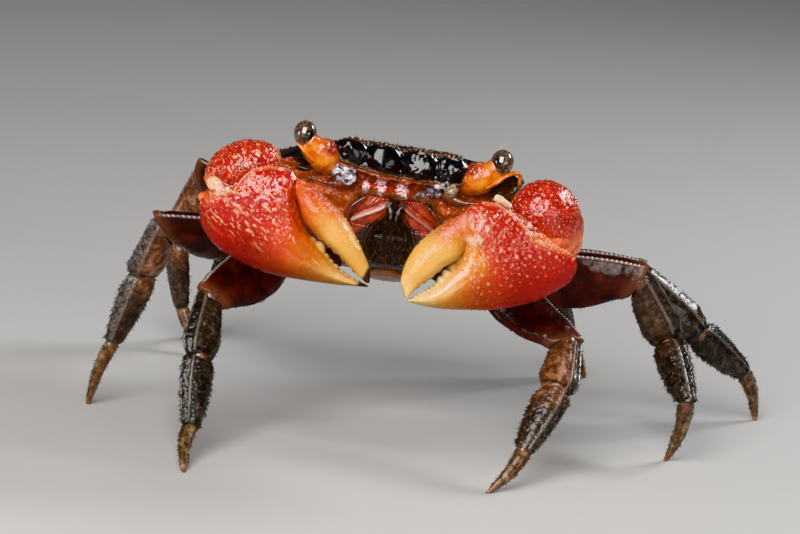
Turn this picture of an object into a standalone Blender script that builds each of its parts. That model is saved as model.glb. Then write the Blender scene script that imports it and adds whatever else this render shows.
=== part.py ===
"""Red mangrove crab, life size, standing alert with both claws folded in front of its mouth.

Lengths are in millimetres until a mesh is made. The body's own frame has +X to the crab's left,
-Y to its front and +Z up, and BODY sets it over the floor, which is the plane z = 0.
"""
import bpy
import bmesh
import numpy as np
from math import asin, atan2, cos, degrees, pi, radians, sin
from mathutils import Matrix, Vector

MM = 0.001
GAP = 0.3
# How far a sharp corner of a cutter may stretch, and the reach of a chord that gives a tangent
MITRE_LIMIT = 2.0
TANGENT_STEP = 0.02
SIDES = {"left": 1, "right": -1}

# Stance of the body: nose up, its left side a little lower
BODY_CENTRE = (-1.4, 0.0, 29.6)
BODY_PITCH = 16.0
BODY_ROLL = 3.0

# Carapace: half of its margin seen from above, front middle to rear middle
MARGIN = (
    (0.0, -12.3), (2.6, -12.9), (5.0, -12.6), (7.2, -12.9), (9.2, -12.4), (11.0, -11.1),
    (13.4, -10.7), (15.2, -11.7), (15.0, -9.4), (15.6, -8.5), (15.6, -3.0), (15.2, 2.5),
    (14.0, 7.6), (11.6, 11.4), (7.6, 13.3), (0.0, 13.6),
)
HALF_WIDTH = 15.6
FRONT_REACH = 12.9
REAR_REACH = 13.6
DOME_TOP = 6.0
DOME_POWER = 2.6
DOME_STEPS = (0.25, 0.5, 0.72, 0.88, 0.97)
# Height of the margin, and where it rises to the front and falls to the rear
FRONT_HEIGHT = 4.9
SIDE_HEIGHT = 3.3
REAR_HEIGHT = 0.9
FRONT_SHOULDER = (11.7, 3.0)
FRONT_RISE = (8.0, 3.0)
REAR_FALL = (2.0, 11.0)
# Four cushions behind the front edge
LOBE_EDGES = (4.6, 8.4)
LOBE_HEIGHT = 0.55
LOBE_POWER = 0.6
LOBE_FROM = (10.5, 1.5)
LOBE_SCALES = (0.7, 0.2)
# Flank below the margin: height, half width, reach to front and rear, rounding of the corners
FLANK = (
    (2.3, 15.5, 13.1, 13.6, 0.0), (1.2, 15.3, 12.6, 13.6, 0.15), (0.4, 15.0, 11.4, 13.5, 0.5),
    (-1.6, 14.4, 11.3, 13.1, 1.0), (-4.0, 13.2, 10.3, 12.2, 1.0), (-6.2, 11.9, 9.4, 11.2, 1.0),
)
STERNUM = (
    (-6.5, 10.4, 9.2, 10.9, 1.0), (-8.2, 10.0, 8.7, 10.2, 1.0), (-9.6, 8.6, 7.8, 8.8, 1.0),
    (-10.0, 6.0, 5.6, 6.4, 1.0),
)
CORNER_POWER = 3.0
FLANK_FOOT = -6.2

# Abdomen flap, from under the rear margin round and forward below the sternum
FLAP_PATH = (
    (14.0, -0.6), (14.1, -3.6), (12.6, -7.4), (9.2, -9.9), (4.4, -10.6), (-0.6, -10.6), (-3.8, -10.4),
)
FLAP_HALF_WIDTH = (5.4, 5.2, 4.6, 3.9, 3.2, 2.4, 1.2)
FLAP_HALF_THICKNESS = 0.6
FLAP_SINK = 0.11
FLAP_SEGMENTS = 7
FLAP_SIDES = 8
FLAP_STEP = 0.75

# Mouthparts: inner and outer edge of one plate as (x, height), and its front face
MOUTH_INNER = ((0.9, -1.9), (0.5, -3.4), (1.3, -5.4), (1.0, -7.6), (0.5, -9.4))
MOUTH_OUTER = ((3.4, -1.6), (4.9, -3.0), (5.3, -5.2), (4.7, -7.8), (2.6, -9.8))
MOUTH_FRONT = (-12.5, -12.2, -11.4, -10.5, -9.9)
MOUTH_DEPTH = 1.5
MOUTH_RINGS = 9
MOUTH_SIDES = 12

# Eyes on their stalks and feelers, left side, with the rings and sides of each
EYE_CENTRE = (12.6, -13.2, 5.0)
EYE_RADII = (1.45, 1.4, 1.65)
EYE_FACETS = (8, 14)
STALK_PATH = ((8.4, -10.6, 2.3), (9.8, -11.8, 2.9), (11.2, -12.6, 3.8), (12.4, -13.1, 4.6))
STALK_RADII = (2.0, 1.95, 1.6, 1.3)
STALK_FACETS = (9, 12)
FEELER_PATH = ((6.2, -10.0, 0.2), (6.5, -12.0, -0.2), (8.6, -13.2, -0.8), (11.6, -13.4, -0.4))
FEELER_RADII = (0.85, 0.75, 0.3, 0.14)
FEELER_FACETS = (8, 8)

# Walking legs: joint with the body, root inside it, and the lengths of the four long segments
HIPS = ((12.5, -6.0, -9.6), (14.0, -1.0, -9.2), (13.5, 4.2, -8.6), (11.5, 8.6, -7.6))
ROOT_INSET = 6.5
ROOT_LEAN = 0.12
ROOT_RISE = 0.9
LEG_LENGTHS = (
    (14.8, 8.2, 9.0, 7.1), (19.1, 9.0, 10.2, 9.2), (21.3, 11.0, 10.2, 8.3), (14.5, 8.0, 9.5, 7.5),
)
# Pose: heading toward the front and pitch of each segment in degrees, and the heading of the last
LEG_POSE = {
    "left": (
        ((35, -22), (99, -32), (125, -47), 140), ((5, 6), (-9, -59), (72, -35), -122),
        ((-14, 2), (-2, -40), (-30, -35), -45), ((-55, 5), (-48, -48), (-45, -60), -45),
    ),
    "right": (
        ((50, -18), (85, -50), (90, -60), 90), ((39, 12), (-63, -55), (-20, -70), -3),
        ((-52, 13), (-47, -63), (39, -102), 134), ((-60, 2), (-52, -50), (-48, -65), -48),
    ),
}
# Half breadth and half thickness along each segment, for the second pair of legs
MERUS_BREADTH = (2.3, 2.9, 3.7, 3.9, 3.6, 3.0, 2.2)
MERUS_THICKNESS = (1.6, 1.65, 1.6, 1.5, 1.5, 1.5, 1.3)
CARPUS_BREADTH = (1.7, 2.0, 2.3, 2.5, 2.6, 2.0)
CARPUS_THICKNESS = (1.2, 1.35, 1.45, 1.5, 1.5, 1.2)
PROPODUS_BREADTH = (1.9, 2.25, 2.2, 2.0, 1.7, 1.25)
PROPODUS_THICKNESS = (1.15, 1.35, 1.35, 1.25, 1.1, 0.85)
DACTYLUS_BREADTH = (1.05, 1.05, 0.9, 0.75, 0.55, 0.3)
DACTYLUS_THICKNESS = (0.8, 0.85, 0.75, 0.62, 0.48, 0.3)
PAIR_SCALE = (0.95, 1.0, 1.0, 0.88)
ROOT_BREADTH = 2.1
ROOT_THICKNESS = 1.6
CREST_TAPER = 0.4
SPINE_HEIGHT = 0.45
SPINE_PLACE = 0.78
DACTYLUS_BOW = 0.5
# Share of a segment over which its rings turn from the joint plane to square
TURN_SHARE = 0.45
LEG_SIDES = 12
DACTYLUS_SIDES = 10
RING_COUNTS = {"root": 3, "merus": 10, "carpus": 6, "propodus": 6, "dactylus": 8}

# Claws: where the hand starts, its direction, and the turn of its outer face upward
HAND_START = {"left": (16.6, -22.5, 31.9), "right": (-21.9, -24.0, 33.1)}
HAND_HEADING = {"left": 146.0, "right": 167.0}
HAND_PITCH = {"left": -22.0, "right": -24.0}
HAND_TURN = {"left": 8.0, "right": 6.0}
# Hand with the fixed finger, seen on its outer face: upper edge, lower edge, half thickness
HAND_TOP = {
    "left": (
        (-2.1, -4.0), (-0.6, -1.7), (1.1, 0.9), (2.9, 3.5), (5.0, 5.4), (7.4, 6.4), (9.3, 4.8),
        (10.8, 2.5), (12.7, 0.9), (15.1, -0.4), (17.5, -0.9), (20.0, -0.7),
    ),
    "right": (
        (-1.0, -0.6), (-0.8, 1.3), (0.3, 3.3), (2.0, 5.0), (4.3, 6.1), (6.6, 5.9), (8.5, 3.2),
        (10.7, 1.0), (12.7, 0.3), (14.5, -0.4), (16.5, -1.0), (18.9, -1.1), (20.6, -0.9),
    ),
}
HAND_BOTTOM = {
    "left": (
        (-3.2, -5.1), (-2.6, -6.3), (-1.1, -7.7), (1.3, -8.3), (4.4, -8.2), (7.6, -7.5), (10.3, -6.6),
        (12.9, -5.4), (15.2, -4.3), (17.2, -3.2), (18.8, -2.1), (20.2, -1.0),
    ),
    "right": (
        (-2.2, -1.3), (-1.8, -3.3), (-0.4, -5.3), (1.4, -6.4), (4.0, -6.8), (7.1, -6.6), (9.9, -6.0),
        (12.3, -5.1), (14.4, -4.2), (16.2, -3.4), (17.9, -2.6), (19.4, -1.8), (20.8, -1.1),
    ),
}
HAND_THICKNESS = {
    "left": (2.2, 3.6, 4.3, 4.4, 4.0, 3.6, 3.1, 2.7, 2.2, 1.7, 1.0, 0.4),
    "right": (2.2, 3.6, 4.3, 4.3, 4.0, 3.5, 3.1, 2.8, 2.4, 1.9, 1.5, 1.0, 0.4),
}
HAND_TEETH = ((13.0, 0.3), (14.9, 0.6), (16.6, 0.35), (18.0, 0.25))
FINGER_TOP = {
    "left": (
        (8.4, 6.2), (9.9, 5.9), (11.9, 5.8), (14.0, 5.5), (16.2, 4.9), (18.0, 4.0), (19.5, 2.8),
        (20.4, 1.5), (20.5, 0.1),
    ),
    "right": (
        (6.9, 5.9), (8.8, 6.0), (10.8, 5.6), (12.8, 5.2), (14.9, 4.4), (16.9, 3.2), (18.7, 2.1),
        (20.2, 0.8), (20.8, -0.3),
    ),
}
FINGER_BOTTOM = {
    "left": (
        (9.5, 2.7), (10.6, 2.1), (11.7, 1.6), (13.1, 1.2), (14.8, 1.1), (16.4, 0.6), (18.0, 0.4),
        (19.2, 0.0), (20.1, -0.3),
    ),
    "right": (
        (8.6, 3.3), (9.4, 2.4), (10.2, 1.8), (11.3, 1.4), (12.9, 1.1), (14.9, 0.7), (16.9, 0.2),
        (18.7, -0.3), (20.2, -0.6),
    ),
}
FINGER_THICKNESS = (2.6, 2.9, 2.8, 2.5, 2.2, 1.8, 1.3, 0.8, 0.35)
FINGER_TEETH = ((13.9, 0.3), (15.7, 0.3), (17.3, 0.25))
TOOTH_WIDTH = 0.8
HAND_FACETS = (29, 18)
FINGER_FACETS = (20, 14)
WRIST_CENTRE = {"left": (17.3, -19.4, 32.8), "right": (-20.5, -20.6, 35.2)}
WRIST_RADII = {"left": (4.7, 4.4, 4.2), "right": (5.0, 3.5, 4.1)}
# Length of the wrist as parts along the hand and up it
WRIST_SLANT = (0.6, 0.8)
WRIST_FACETS = (12, 16)
ARM_ROOT = (5.5, -6.0, -7.2)
ARM_KNEE = (9.2, -11.7, -6.8)
ARM_BREADTH = (1.8, 2.3, 2.8, 3.1, 3.0, 2.6)
ARM_THICKNESS = (1.8, 2.1, 2.3, 2.4, 2.3, 2.0)
ARM_RINGS = (4, 9)
ARM_SIDES = 14

RED = (0.62, 0.05, 0.02)
CREAM = (0.75, 0.45, 0.14)
MAROON = (0.13, 0.02, 0.012)
UMBER = (0.06, 0.03, 0.02)
BLACK = (0.012, 0.011, 0.012)
ORANGE = (0.65, 0.2, 0.03)
BROWN = (0.25, 0.06, 0.02)


def body_matrix():
    turn = Matrix.Rotation(radians(BODY_ROLL), 3, "Y") @ Matrix.Rotation(radians(-BODY_PITCH), 3, "X")
    return np.array(turn)


BODY = body_matrix()


def on_body(point):
    return np.array(BODY_CENTRE) + BODY @ np.array(point, float)


def unit(vector):
    return vector / np.linalg.norm(vector)


def smooth(t):
    t = min(1.0, max(0.0, t))
    return t * t * (3 - 2 * t)


def through(points, t):
    """Point at t, from 0 to 1, on the smooth curve through evenly numbered points."""
    points = np.array(points, float)
    spans = len(points) - 1
    start = min(int(t * spans), spans - 1)
    f = t * spans - start
    a, b, c, d = (points[min(spans, max(0, start + k))] for k in (-1, 0, 1, 2))
    return b + 0.5 * f * (c - a + f * (2 * a - 5 * b + 4 * c - d + f * (3 * (b - c) + d - a)))


def steps(count):
    return [i / (count - 1) for i in range(count)]


def skin(rings):
    """Closed mesh over rings of points; a ring of one point is a tip, and open ends are capped."""
    bm = bmesh.new()
    loops = [[bm.verts.new(point * MM) for point in ring] for ring in rings]
    if len(loops[0]) > 1:
        loops.insert(0, [bm.verts.new(np.mean(rings[0], axis=0) * MM)])
    if len(loops[-1]) > 1:
        loops.append([bm.verts.new(np.mean(rings[-1], axis=0) * MM)])
    for low, high in zip(loops, loops[1:]):
        count = max(len(low), len(high))
        for i in range(count):
            j = (i + 1) % count
            corners = [low[i % len(low)], low[j % len(low)], high[j % len(high)], high[i % len(high)]]
            bm.faces.new(list(dict.fromkeys(corners)))
    bmesh.ops.triangulate(bm, faces=bm.faces[:], quad_method="SHORT_EDGE")
    bmesh.ops.recalc_face_normals(bm, faces=bm.faces[:])
    return bm


def inflate(bm, distance):
    bm.normal_update()
    shifts = [vert.normal * distance * MM * min(MITRE_LIMIT, vert.calc_shell_factor()) for vert in bm.verts]
    for vert, shift in zip(bm.verts, shifts):
        vert.co += shift
    return bm


def material(name, colour, roughness):
    made = bpy.data.materials.new(name)
    made.use_nodes = True
    shader = made.node_tree.nodes["Principled BSDF"]
    shader.inputs["Base Color"].default_value = (*colour, 1)
    shader.inputs["Roughness"].default_value = roughness
    shader.inputs["Metallic"].default_value = 0.0
    made.diffuse_color = (*colour, 1)
    return made


def node(name, bm, colour, roughness=0.4):
    mesh = bpy.data.meshes.new(name)
    bm.to_mesh(mesh)
    bm.free()
    mesh.shade_smooth()
    mesh.materials.append(material(name, colour, roughness))
    made = bpy.data.objects.new(name, mesh)
    bpy.context.collection.objects.link(made)
    return made


def cutter(name, bm):
    """Slightly larger copy of a piece, which leaves the gap where a neighbour meets it."""
    made = node(name, inflate(bm, GAP), BLACK)
    made.hide_render = True
    made.display_type = "WIRE"
    return made


def keep_largest(mesh):
    bm = bmesh.new()
    bm.from_mesh(mesh)
    left = set(bm.verts)
    shells = []
    while left:
        front = [left.pop()]
        shell = set(front)
        while front:
            for edge in front.pop().link_edges:
                for vert in edge.verts:
                    if vert in left:
                        left.remove(vert)
                        shell.add(vert)
                        front.append(vert)
        shells.append(shell)
    best = max(shells, key=len)
    loose = [vert for vert in bm.verts if vert not in best]
    bmesh.ops.delete(bm, geom=loose, context="VERTS")
    bmesh.ops.triangulate(bm, faces=bm.faces[:])
    bm.to_mesh(mesh)
    bm.free()


def cut(made, *tools):
    for tool in tools:
        modifier = made.modifiers.new("Fit", "BOOLEAN")
        modifier.operation = "DIFFERENCE"
        modifier.object = tool
        modifier.solver = "EXACT"
    graph = bpy.context.evaluated_depsgraph_get()
    mesh = bpy.data.meshes.new_from_object(made.evaluated_get(graph))
    made.modifiers.clear()
    made.data = mesh
    keep_largest(mesh)
    return made


# Body


def margin_points():
    """Whole margin, as (x, y) in order round the body from the front middle."""
    count = 2 * (len(MARGIN) - 1)
    half = [through(MARGIN, i / count) for i in range(count + 1)]
    half[0][0] = half[-1][0] = 0.0
    return half + [point * (-1, 1) for point in half[-2:0:-1]]


def margin_height(x, y):
    """Height of the margin, highest over the front and lowest behind."""
    (edge, fade), (start, run_up) = FRONT_SHOULDER, FRONT_RISE
    front = smooth((edge - abs(x)) / fade) * smooth((-y - start) / run_up)
    rear = smooth((y - REAR_FALL[0]) / REAR_FALL[1])
    return SIDE_HEIGHT + (FRONT_HEIGHT - SIDE_HEIGHT) * front - (SIDE_HEIGHT - REAR_HEIGHT) * rear


def lobe(x):
    """Swelling of the cushions behind the front edge, from 0 to 1."""
    low, high = (0.0, LOBE_EDGES[0]) if abs(x) < LOBE_EDGES[0] else LOBE_EDGES
    place = min(1.0, (abs(x) - low) / (high - low))
    return max(0.0, sin(pi * place)) ** LOBE_POWER


def dome_ring(scale):
    ring = []
    for x, y in margin_points():
        edge = margin_height(x, y)
        height = edge + (DOME_TOP - edge) * (1 - scale ** DOME_POWER)
        front = smooth((-y - LOBE_FROM[0]) / LOBE_FROM[1])
        front *= smooth((scale - LOBE_SCALES[0]) / LOBE_SCALES[1])
        ring.append(on_body((x * scale, y * scale, height + LOBE_HEIGHT * lobe(x) * front)))
    return ring


def flank_ring(height, width, front, rear, rounding):
    ring = []
    for x, y in margin_points():
        slope = min(1.0, (margin_height(x, y) - FLANK_FOOT) / (SIDE_HEIGHT - FLANK_FOOT))
        level = FLANK_FOOT + (height - FLANK_FOOT) * slope if height > FLANK_FOOT else height
        reach, full = (front, FRONT_REACH) if y < 0 else (rear, REAR_REACH)
        plain = np.array((x * width / HALF_WIDTH, y * reach / full))
        angle = atan2(y, x)
        size = (abs(cos(angle) / width) ** CORNER_POWER + abs(sin(angle) / reach) ** CORNER_POWER)
        soft = np.array((cos(angle), sin(angle))) * size ** (-1 / CORNER_POWER)
        flat = plain * (1 - rounding) + soft * rounding
        ring.append(on_body((flat[0], flat[1], level)))
    return ring


def dome():
    top = [[on_body((0, 0, DOME_TOP))]] + [dome_ring(scale) for scale in DOME_STEPS]
    return top + [dome_ring(1.0)]


def body_shell():
    return skin(dome() + [flank_ring(*row) for row in FLANK + STERNUM])


def carapace():
    return node("carapace", skin(dome() + [flank_ring(*row) for row in FLANK]), BLACK, 0.25)


def sternum():
    return node("sternum", skin([flank_ring(*row) for row in STERNUM]), BROWN)


def tangent(path, t):
    ahead, behind = min(1, t + TANGENT_STEP), max(0, t - TANGENT_STEP)
    return unit(through(path, ahead) - through(path, behind))


def angles(sides):
    return [2 * pi * i / sides for i in range(sides)]


def tube(path, radii, count, sides):
    """Round rings along a smooth path."""
    rings = []
    for t in steps(count):
        along = tangent(path, t)
        across = unit(np.cross(along, (0, 0, 1)))
        up = np.cross(across, along)
        radius = profile(radii, t)
        rings.append([
            through(path, t) + radius * (across * cos(a) + up * sin(a)) for a in angles(sides)
        ])
    return rings


def abdomen():
    """Flat jointed flap: each segment is a shallow step of the ribbon."""
    rings = []
    for index, t in enumerate(steps(3 * FLAP_SEGMENTS + 1)):
        y, z = through(FLAP_PATH, t)
        ahead = tangent(FLAP_PATH, t)
        out = np.array((0, -ahead[1], ahead[0]))
        width = profile(FLAP_HALF_WIDTH, t)
        step = FLAP_STEP if index % 3 == 0 else 1.0
        ring = []
        for a in angles(FLAP_SIDES):
            offset = out * (FLAP_HALF_THICKNESS * sin(a) * step - FLAP_SINK)
            ring.append(on_body(np.array((width * cos(a), y, z)) + offset))
        rings.append(ring)
    return skin(rings)


def mouth_plate(side):
    rings = []
    for t in steps(MOUTH_RINGS):
        inner, outer = through(MOUTH_INNER, t), through(MOUTH_OUTER, t)
        front = profile(MOUTH_FRONT, t)
        ring = []
        for a in angles(MOUTH_SIDES):
            x, z = inner + (outer - inner) * (1 - cos(a)) / 2
            ring.append(on_body((side * x, front + MOUTH_DEPTH * (1 - sin(a)), z)))
        rings.append(ring)
    return skin(rings)


def ellipsoid(centre, axes, rows, sides):
    """Egg shape; the rows of axes are its half axes as vectors."""
    long, wide, deep = (np.array(axis, float) for axis in axes)
    centre = np.array(centre, float)
    rings = [[centre - long]]
    for row in range(1, rows):
        a = pi * row / rows
        rings.append([
            centre - long * cos(a) + sin(a) * (wide * cos(b) + deep * sin(b)) for b in angles(sides)
        ])
    return skin(rings + [[centre + long]])


def mirrored(point, side):
    return np.array(point, float) * (side, 1, 1)


def eye(side):
    axes = [BODY @ np.array(axis, float) for axis in np.diag(EYE_RADII)[[2, 0, 1]]]
    return ellipsoid(on_body(mirrored(EYE_CENTRE, side)), axes, *EYE_FACETS)


def head(side_name, body_cutter):
    side = SIDES[side_name]
    eye_cutter = cutter("eye_cutter", eye(side))
    stalk = [on_body(mirrored(point, side)) for point in STALK_PATH]
    feeler = [on_body(mirrored(point, side)) for point in FEELER_PATH]
    stalk_skin = skin(tube(stalk, STALK_RADII, *STALK_FACETS))
    feeler_skin = skin(tube(feeler, FEELER_RADII, *FEELER_FACETS))
    node(f"eye_{side_name}", eye(side), UMBER, 0.1)
    cut(node(f"eyestalk_{side_name}", stalk_skin, ORANGE), body_cutter, eye_cutter)
    cut(node(f"antenna_{side_name}", feeler_skin, ORANGE), body_cutter)
    cut(node(f"mouthpart_{side_name}", mouth_plate(side), BROWN), body_cutter)
    bpy.data.objects.remove(eye_cutter)


# Walking legs


def direction(side, heading, pitch):
    h, p = radians(heading), radians(pitch)
    return np.array((side * cos(h) * cos(p), -sin(h) * cos(p), sin(p)))


def leg_points(side_name, pair):
    """Root, hip, knee, wrist, ankle and foot of one leg."""
    side = SIDES[side_name]
    hip = mirrored(HIPS[pair], side)
    root = hip - (side * ROOT_INSET, ROOT_LEAN * hip[1], -ROOT_RISE)
    points = [on_body(root), on_body(hip)]
    pose = LEG_POSE[side_name][pair]
    for (heading, pitch), length in zip(pose[:3], LEG_LENGTHS[pair]):
        points.append(points[-1] + length * direction(side, heading, pitch))
    reach = LEG_LENGTHS[pair][3]
    pitch = -degrees(asin(points[-1][2] / reach))
    points.append(points[-1] + reach * direction(side, pose[3], pitch))
    return points


def profile(values, t, scale=1.0):
    return scale * float(through([(value,) for value in values], t)[0])


def section(centre, along, flex, breadth, thickness, plane, sides, spine=0.0):
    """Flat oval ring, keener at its upper edge, with every point slid along onto a plane."""
    thin = unit(flex - along * (flex @ along))
    broad = np.cross(along, thin)
    ring = []
    for i, a in enumerate(angles(sides)):
        height = breadth * cos(a) + (spine if i == 0 else 0.0)
        width = thickness * sin(a) * (1 - CREST_TAPER * max(0.0, cos(a)) ** 2)
        point = centre + broad * height + thin * width
        ring.append(point + along * ((centre - point) @ plane) / (along @ plane))
    return ring


def run(start, end, flex, planes, breadths, thicknesses, count, sides, scale=1.0, bow=0.0, spine=0.0):
    """Rings from one joint plane to the next, turning from each plane to square and back."""
    along = unit(end - start)
    thin = unit(flex - along * (flex @ along))
    broad = np.cross(along, thin)
    rings = []
    for t in steps(count):
        first, last = smooth(1 - t / TURN_SHARE), smooth(1 - (1 - t) / TURN_SHARE)
        plane = unit(planes[0] * first + planes[1] * last + along * (1 - first - last))
        centre = start + (end - start) * t + broad * bow * sin(pi * t)
        tooth = spine if abs(t - SPINE_PLACE) < 0.5 / (count - 1) else 0.0
        rings.append(section(
            centre, along, flex, profile(breadths, t, scale), profile(thicknesses, t, scale),
            plane, sides, tooth,
        ))
    return rings


def shortened(start, end, planes, first, last):
    """Ends of a segment drawn back by half the gap along its own line."""
    along = unit(end - start)
    if first:
        start = start + along * GAP / 2 / (along @ planes[0])
    if last:
        end = end - along * GAP / 2 / (along @ planes[1])
    return start, end


def leg(side_name, pair, body_cutter):
    points = leg_points(side_name, pair)
    lines = [unit(b - a) for a, b in zip(points, points[1:])]
    flex = unit(np.cross(lines[1], lines[2]))
    planes = [lines[0]] + [unit(a + b) for a, b in zip(lines, lines[1:])] + [np.array((0, 0, -1.0))]
    scale = PAIR_SCALE[pair]
    label = f"leg{pair + 1}_{side_name}"

    def rings(name, first, breadths, thicknesses, sides=LEG_SIDES, gaps=(True, True), **extra):
        ends = planes[first:first + 2]
        start, end = shortened(points[first], points[first + 1], ends, *gaps)
        count = RING_COUNTS[name]
        return run(start, end, flex, ends, breadths, thicknesses, count, sides, scale, **extra)

    root_breadths = (ROOT_BREADTH, ROOT_BREADTH, MERUS_BREADTH[0])
    root_thicknesses = (ROOT_THICKNESS, ROOT_THICKNESS, MERUS_THICKNESS[0])
    root = rings("root", 0, root_breadths, root_thicknesses, gaps=(False, False))
    merus = rings("merus", 1, MERUS_BREADTH, MERUS_THICKNESS, gaps=(False, True), spine=SPINE_HEIGHT)
    carpus = rings("carpus", 2, CARPUS_BREADTH, CARPUS_THICKNESS)
    propodus = rings("propodus", 3, PROPODUS_BREADTH, PROPODUS_THICKNESS)
    dactylus = rings("dactylus", 4, DACTYLUS_BREADTH, DACTYLUS_THICKNESS, DACTYLUS_SIDES,
                     gaps=(True, False), bow=DACTYLUS_BOW)
    for point in dactylus[-1]:
        point[2] = 0.0
    cut(node(f"{label}_merus", skin(root[:-1] + merus), MAROON), body_cutter)
    node(f"{label}_carpus", skin(carpus), UMBER)
    node(f"{label}_propodus", skin(propodus), UMBER)
    node(f"{label}_dactylus", skin(dactylus), BROWN)


# Claws


def hand_frame(side_name):
    """Axes of the hand: along to the finger tips, up across it, and out of its outer face."""
    side = SIDES[side_name]
    along = direction(side, HAND_HEADING[side_name], HAND_PITCH[side_name])
    up = unit(np.array((0, 0, 1.0)) - along * along[2])
    out = unit(np.cross(along, up)) * -side
    turn = radians(HAND_TURN[side_name])
    return along, up * cos(turn) - out * sin(turn), out * cos(turn) + up * sin(turn)


def tooth_height(place, teeth):
    return max(height * max(0.0, 1 - abs(place - at) / TOOTH_WIDTH * 2) for at, height in teeth)


def claw_part(side_name, top, bottom, thicknesses, teeth, toothed_top, count, sides):
    """Oval rings spanned between an upper and a lower edge curve."""
    along, up, out = hand_frame(side_name)
    start = np.array(HAND_START[side_name])
    rings = []
    for t in steps(count):
        high, low = through(top, t), through(bottom, t)
        edge = high if toothed_top else low
        raised = tooth_height(edge[0], teeth)
        middle, half = (high + low) / 2, (high - low) / 2
        thickness = profile(thicknesses, t)
        ring = []
        for i, a in enumerate(angles(sides)):
            u, v = middle + half * cos(a)
            if i == (0 if toothed_top else sides // 2):
                v += raised if toothed_top else -raised
            ring.append(start + along * u + up * v + out * thickness * sin(a))
        rings.append(ring)
    return skin(rings)


def hand(side_name):
    top, bottom, thickness = HAND_TOP[side_name], HAND_BOTTOM[side_name], HAND_THICKNESS[side_name]
    return claw_part(side_name, top, bottom, thickness, HAND_TEETH, True, *HAND_FACETS)


def finger(side_name):
    top, bottom = FINGER_TOP[side_name], FINGER_BOTTOM[side_name]
    return claw_part(
        side_name, top, bottom, FINGER_THICKNESS, FINGER_TEETH, False, *FINGER_FACETS
    )


def wrist(side_name):
    along, up, out = hand_frame(side_name)
    forward, upward = WRIST_SLANT
    seam = unit(along * forward + up * upward)
    cap = unit(up * forward - along * upward)
    long, tall, deep = WRIST_RADII[side_name]
    return ellipsoid(WRIST_CENTRE[side_name], (seam * long, cap * tall, out * deep), *WRIST_FACETS)


def arm(side_name):
    side = SIDES[side_name]
    root, knee = (on_body(mirrored(point, side)) for point in (ARM_ROOT, ARM_KNEE))
    end = np.array(WRIST_CENTRE[side_name])
    lines = unit(knee - root), unit(end - knee)
    flex = unit(np.cross(lines[1], (0, 0, -1.0)))
    bend = unit(lines[0] + lines[1])
    first, last = ARM_RINGS
    breadths, thicknesses = ARM_BREADTH[:1] * 2, ARM_THICKNESS[:1] * 2
    base = run(root, knee, flex, (lines[0], bend), breadths, thicknesses, first, ARM_SIDES)
    rest = run(knee, end, flex, (bend, lines[1]), ARM_BREADTH, ARM_THICKNESS, last, ARM_SIDES)
    return skin(base[:-1] + rest)


def claw(side_name, body_cutter):
    hand_cutter = cutter("hand_cutter", hand(side_name))
    wrist_cutter = cutter("wrist_cutter", wrist(side_name))
    node(f"claw_{side_name}_palm", hand(side_name), RED)
    cut(node(f"claw_{side_name}_finger", finger(side_name), CREAM), hand_cutter)
    cut(node(f"claw_{side_name}_carpus", wrist(side_name), RED), hand_cutter)
    cut(node(f"claw_{side_name}_merus", arm(side_name), MAROON), body_cutter, wrist_cutter, hand_cutter)
    bpy.data.objects.remove(hand_cutter)
    bpy.data.objects.remove(wrist_cutter)


def centre_on_floor():
    """Move the whole crab so that its box stands on the origin."""
    made = [item for item in bpy.data.objects if item.type == "MESH"]
    corners = np.array([vert.co for item in made for vert in item.data.vertices])
    middle = (corners.min(axis=0) + corners.max(axis=0)) / 2
    for item in made:
        item.location = Vector((-middle[0], -middle[1], 0))


def main():
    for item in list(bpy.data.objects):
        bpy.data.objects.remove(item)
    body_cutter = cutter("body_cutter", body_shell())
    carapace()
    sternum()
    cut(node("abdomen", abdomen(), BROWN), body_cutter)
    for side_name in SIDES:
        head(side_name, body_cutter)
        claw(side_name, body_cutter)
        for pair in range(len(HIPS)):
            leg(side_name, pair, body_cutter)
    bpy.data.objects.remove(body_cutter)
    centre_on_floor()


main()
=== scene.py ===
"""Looks of the red mangrove crab: wet shell plates, granular claws, eyes, mouth, legs and bristles.

Lengths are in millimetres until a mesh is made. The body's own frame has +X to the crab's left,
-Y to its front and +Z up, and on_body sets it over the floor, which is the plane z = 0.
"""
from math import asin, cos, degrees, pi, radians, sin

import bpy
import numpy as np
from mathutils import Matrix, Vector
from mathutils.kdtree import KDTree


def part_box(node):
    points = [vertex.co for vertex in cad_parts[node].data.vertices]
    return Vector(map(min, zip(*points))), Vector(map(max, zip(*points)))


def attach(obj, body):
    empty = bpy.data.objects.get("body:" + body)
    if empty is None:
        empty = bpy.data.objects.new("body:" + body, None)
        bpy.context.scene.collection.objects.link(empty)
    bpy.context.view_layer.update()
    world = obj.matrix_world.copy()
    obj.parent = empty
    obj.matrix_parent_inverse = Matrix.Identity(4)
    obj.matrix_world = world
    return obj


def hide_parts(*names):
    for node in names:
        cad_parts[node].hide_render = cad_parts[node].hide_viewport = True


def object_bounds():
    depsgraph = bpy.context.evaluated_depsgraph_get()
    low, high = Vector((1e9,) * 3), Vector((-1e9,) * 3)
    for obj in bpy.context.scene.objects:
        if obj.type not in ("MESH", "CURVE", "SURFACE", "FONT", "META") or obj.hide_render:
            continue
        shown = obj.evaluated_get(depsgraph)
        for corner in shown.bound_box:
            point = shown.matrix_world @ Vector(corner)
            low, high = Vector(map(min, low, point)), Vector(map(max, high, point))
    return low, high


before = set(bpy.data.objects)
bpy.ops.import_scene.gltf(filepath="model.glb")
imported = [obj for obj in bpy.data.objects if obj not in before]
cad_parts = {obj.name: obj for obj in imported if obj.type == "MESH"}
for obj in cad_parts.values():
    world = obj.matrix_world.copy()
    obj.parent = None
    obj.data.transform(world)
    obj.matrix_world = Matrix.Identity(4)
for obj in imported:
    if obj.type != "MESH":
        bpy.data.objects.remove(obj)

cad_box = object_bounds()
CAD_LIMITS = np.array([tuple(corner) for corner in cad_box])

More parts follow.
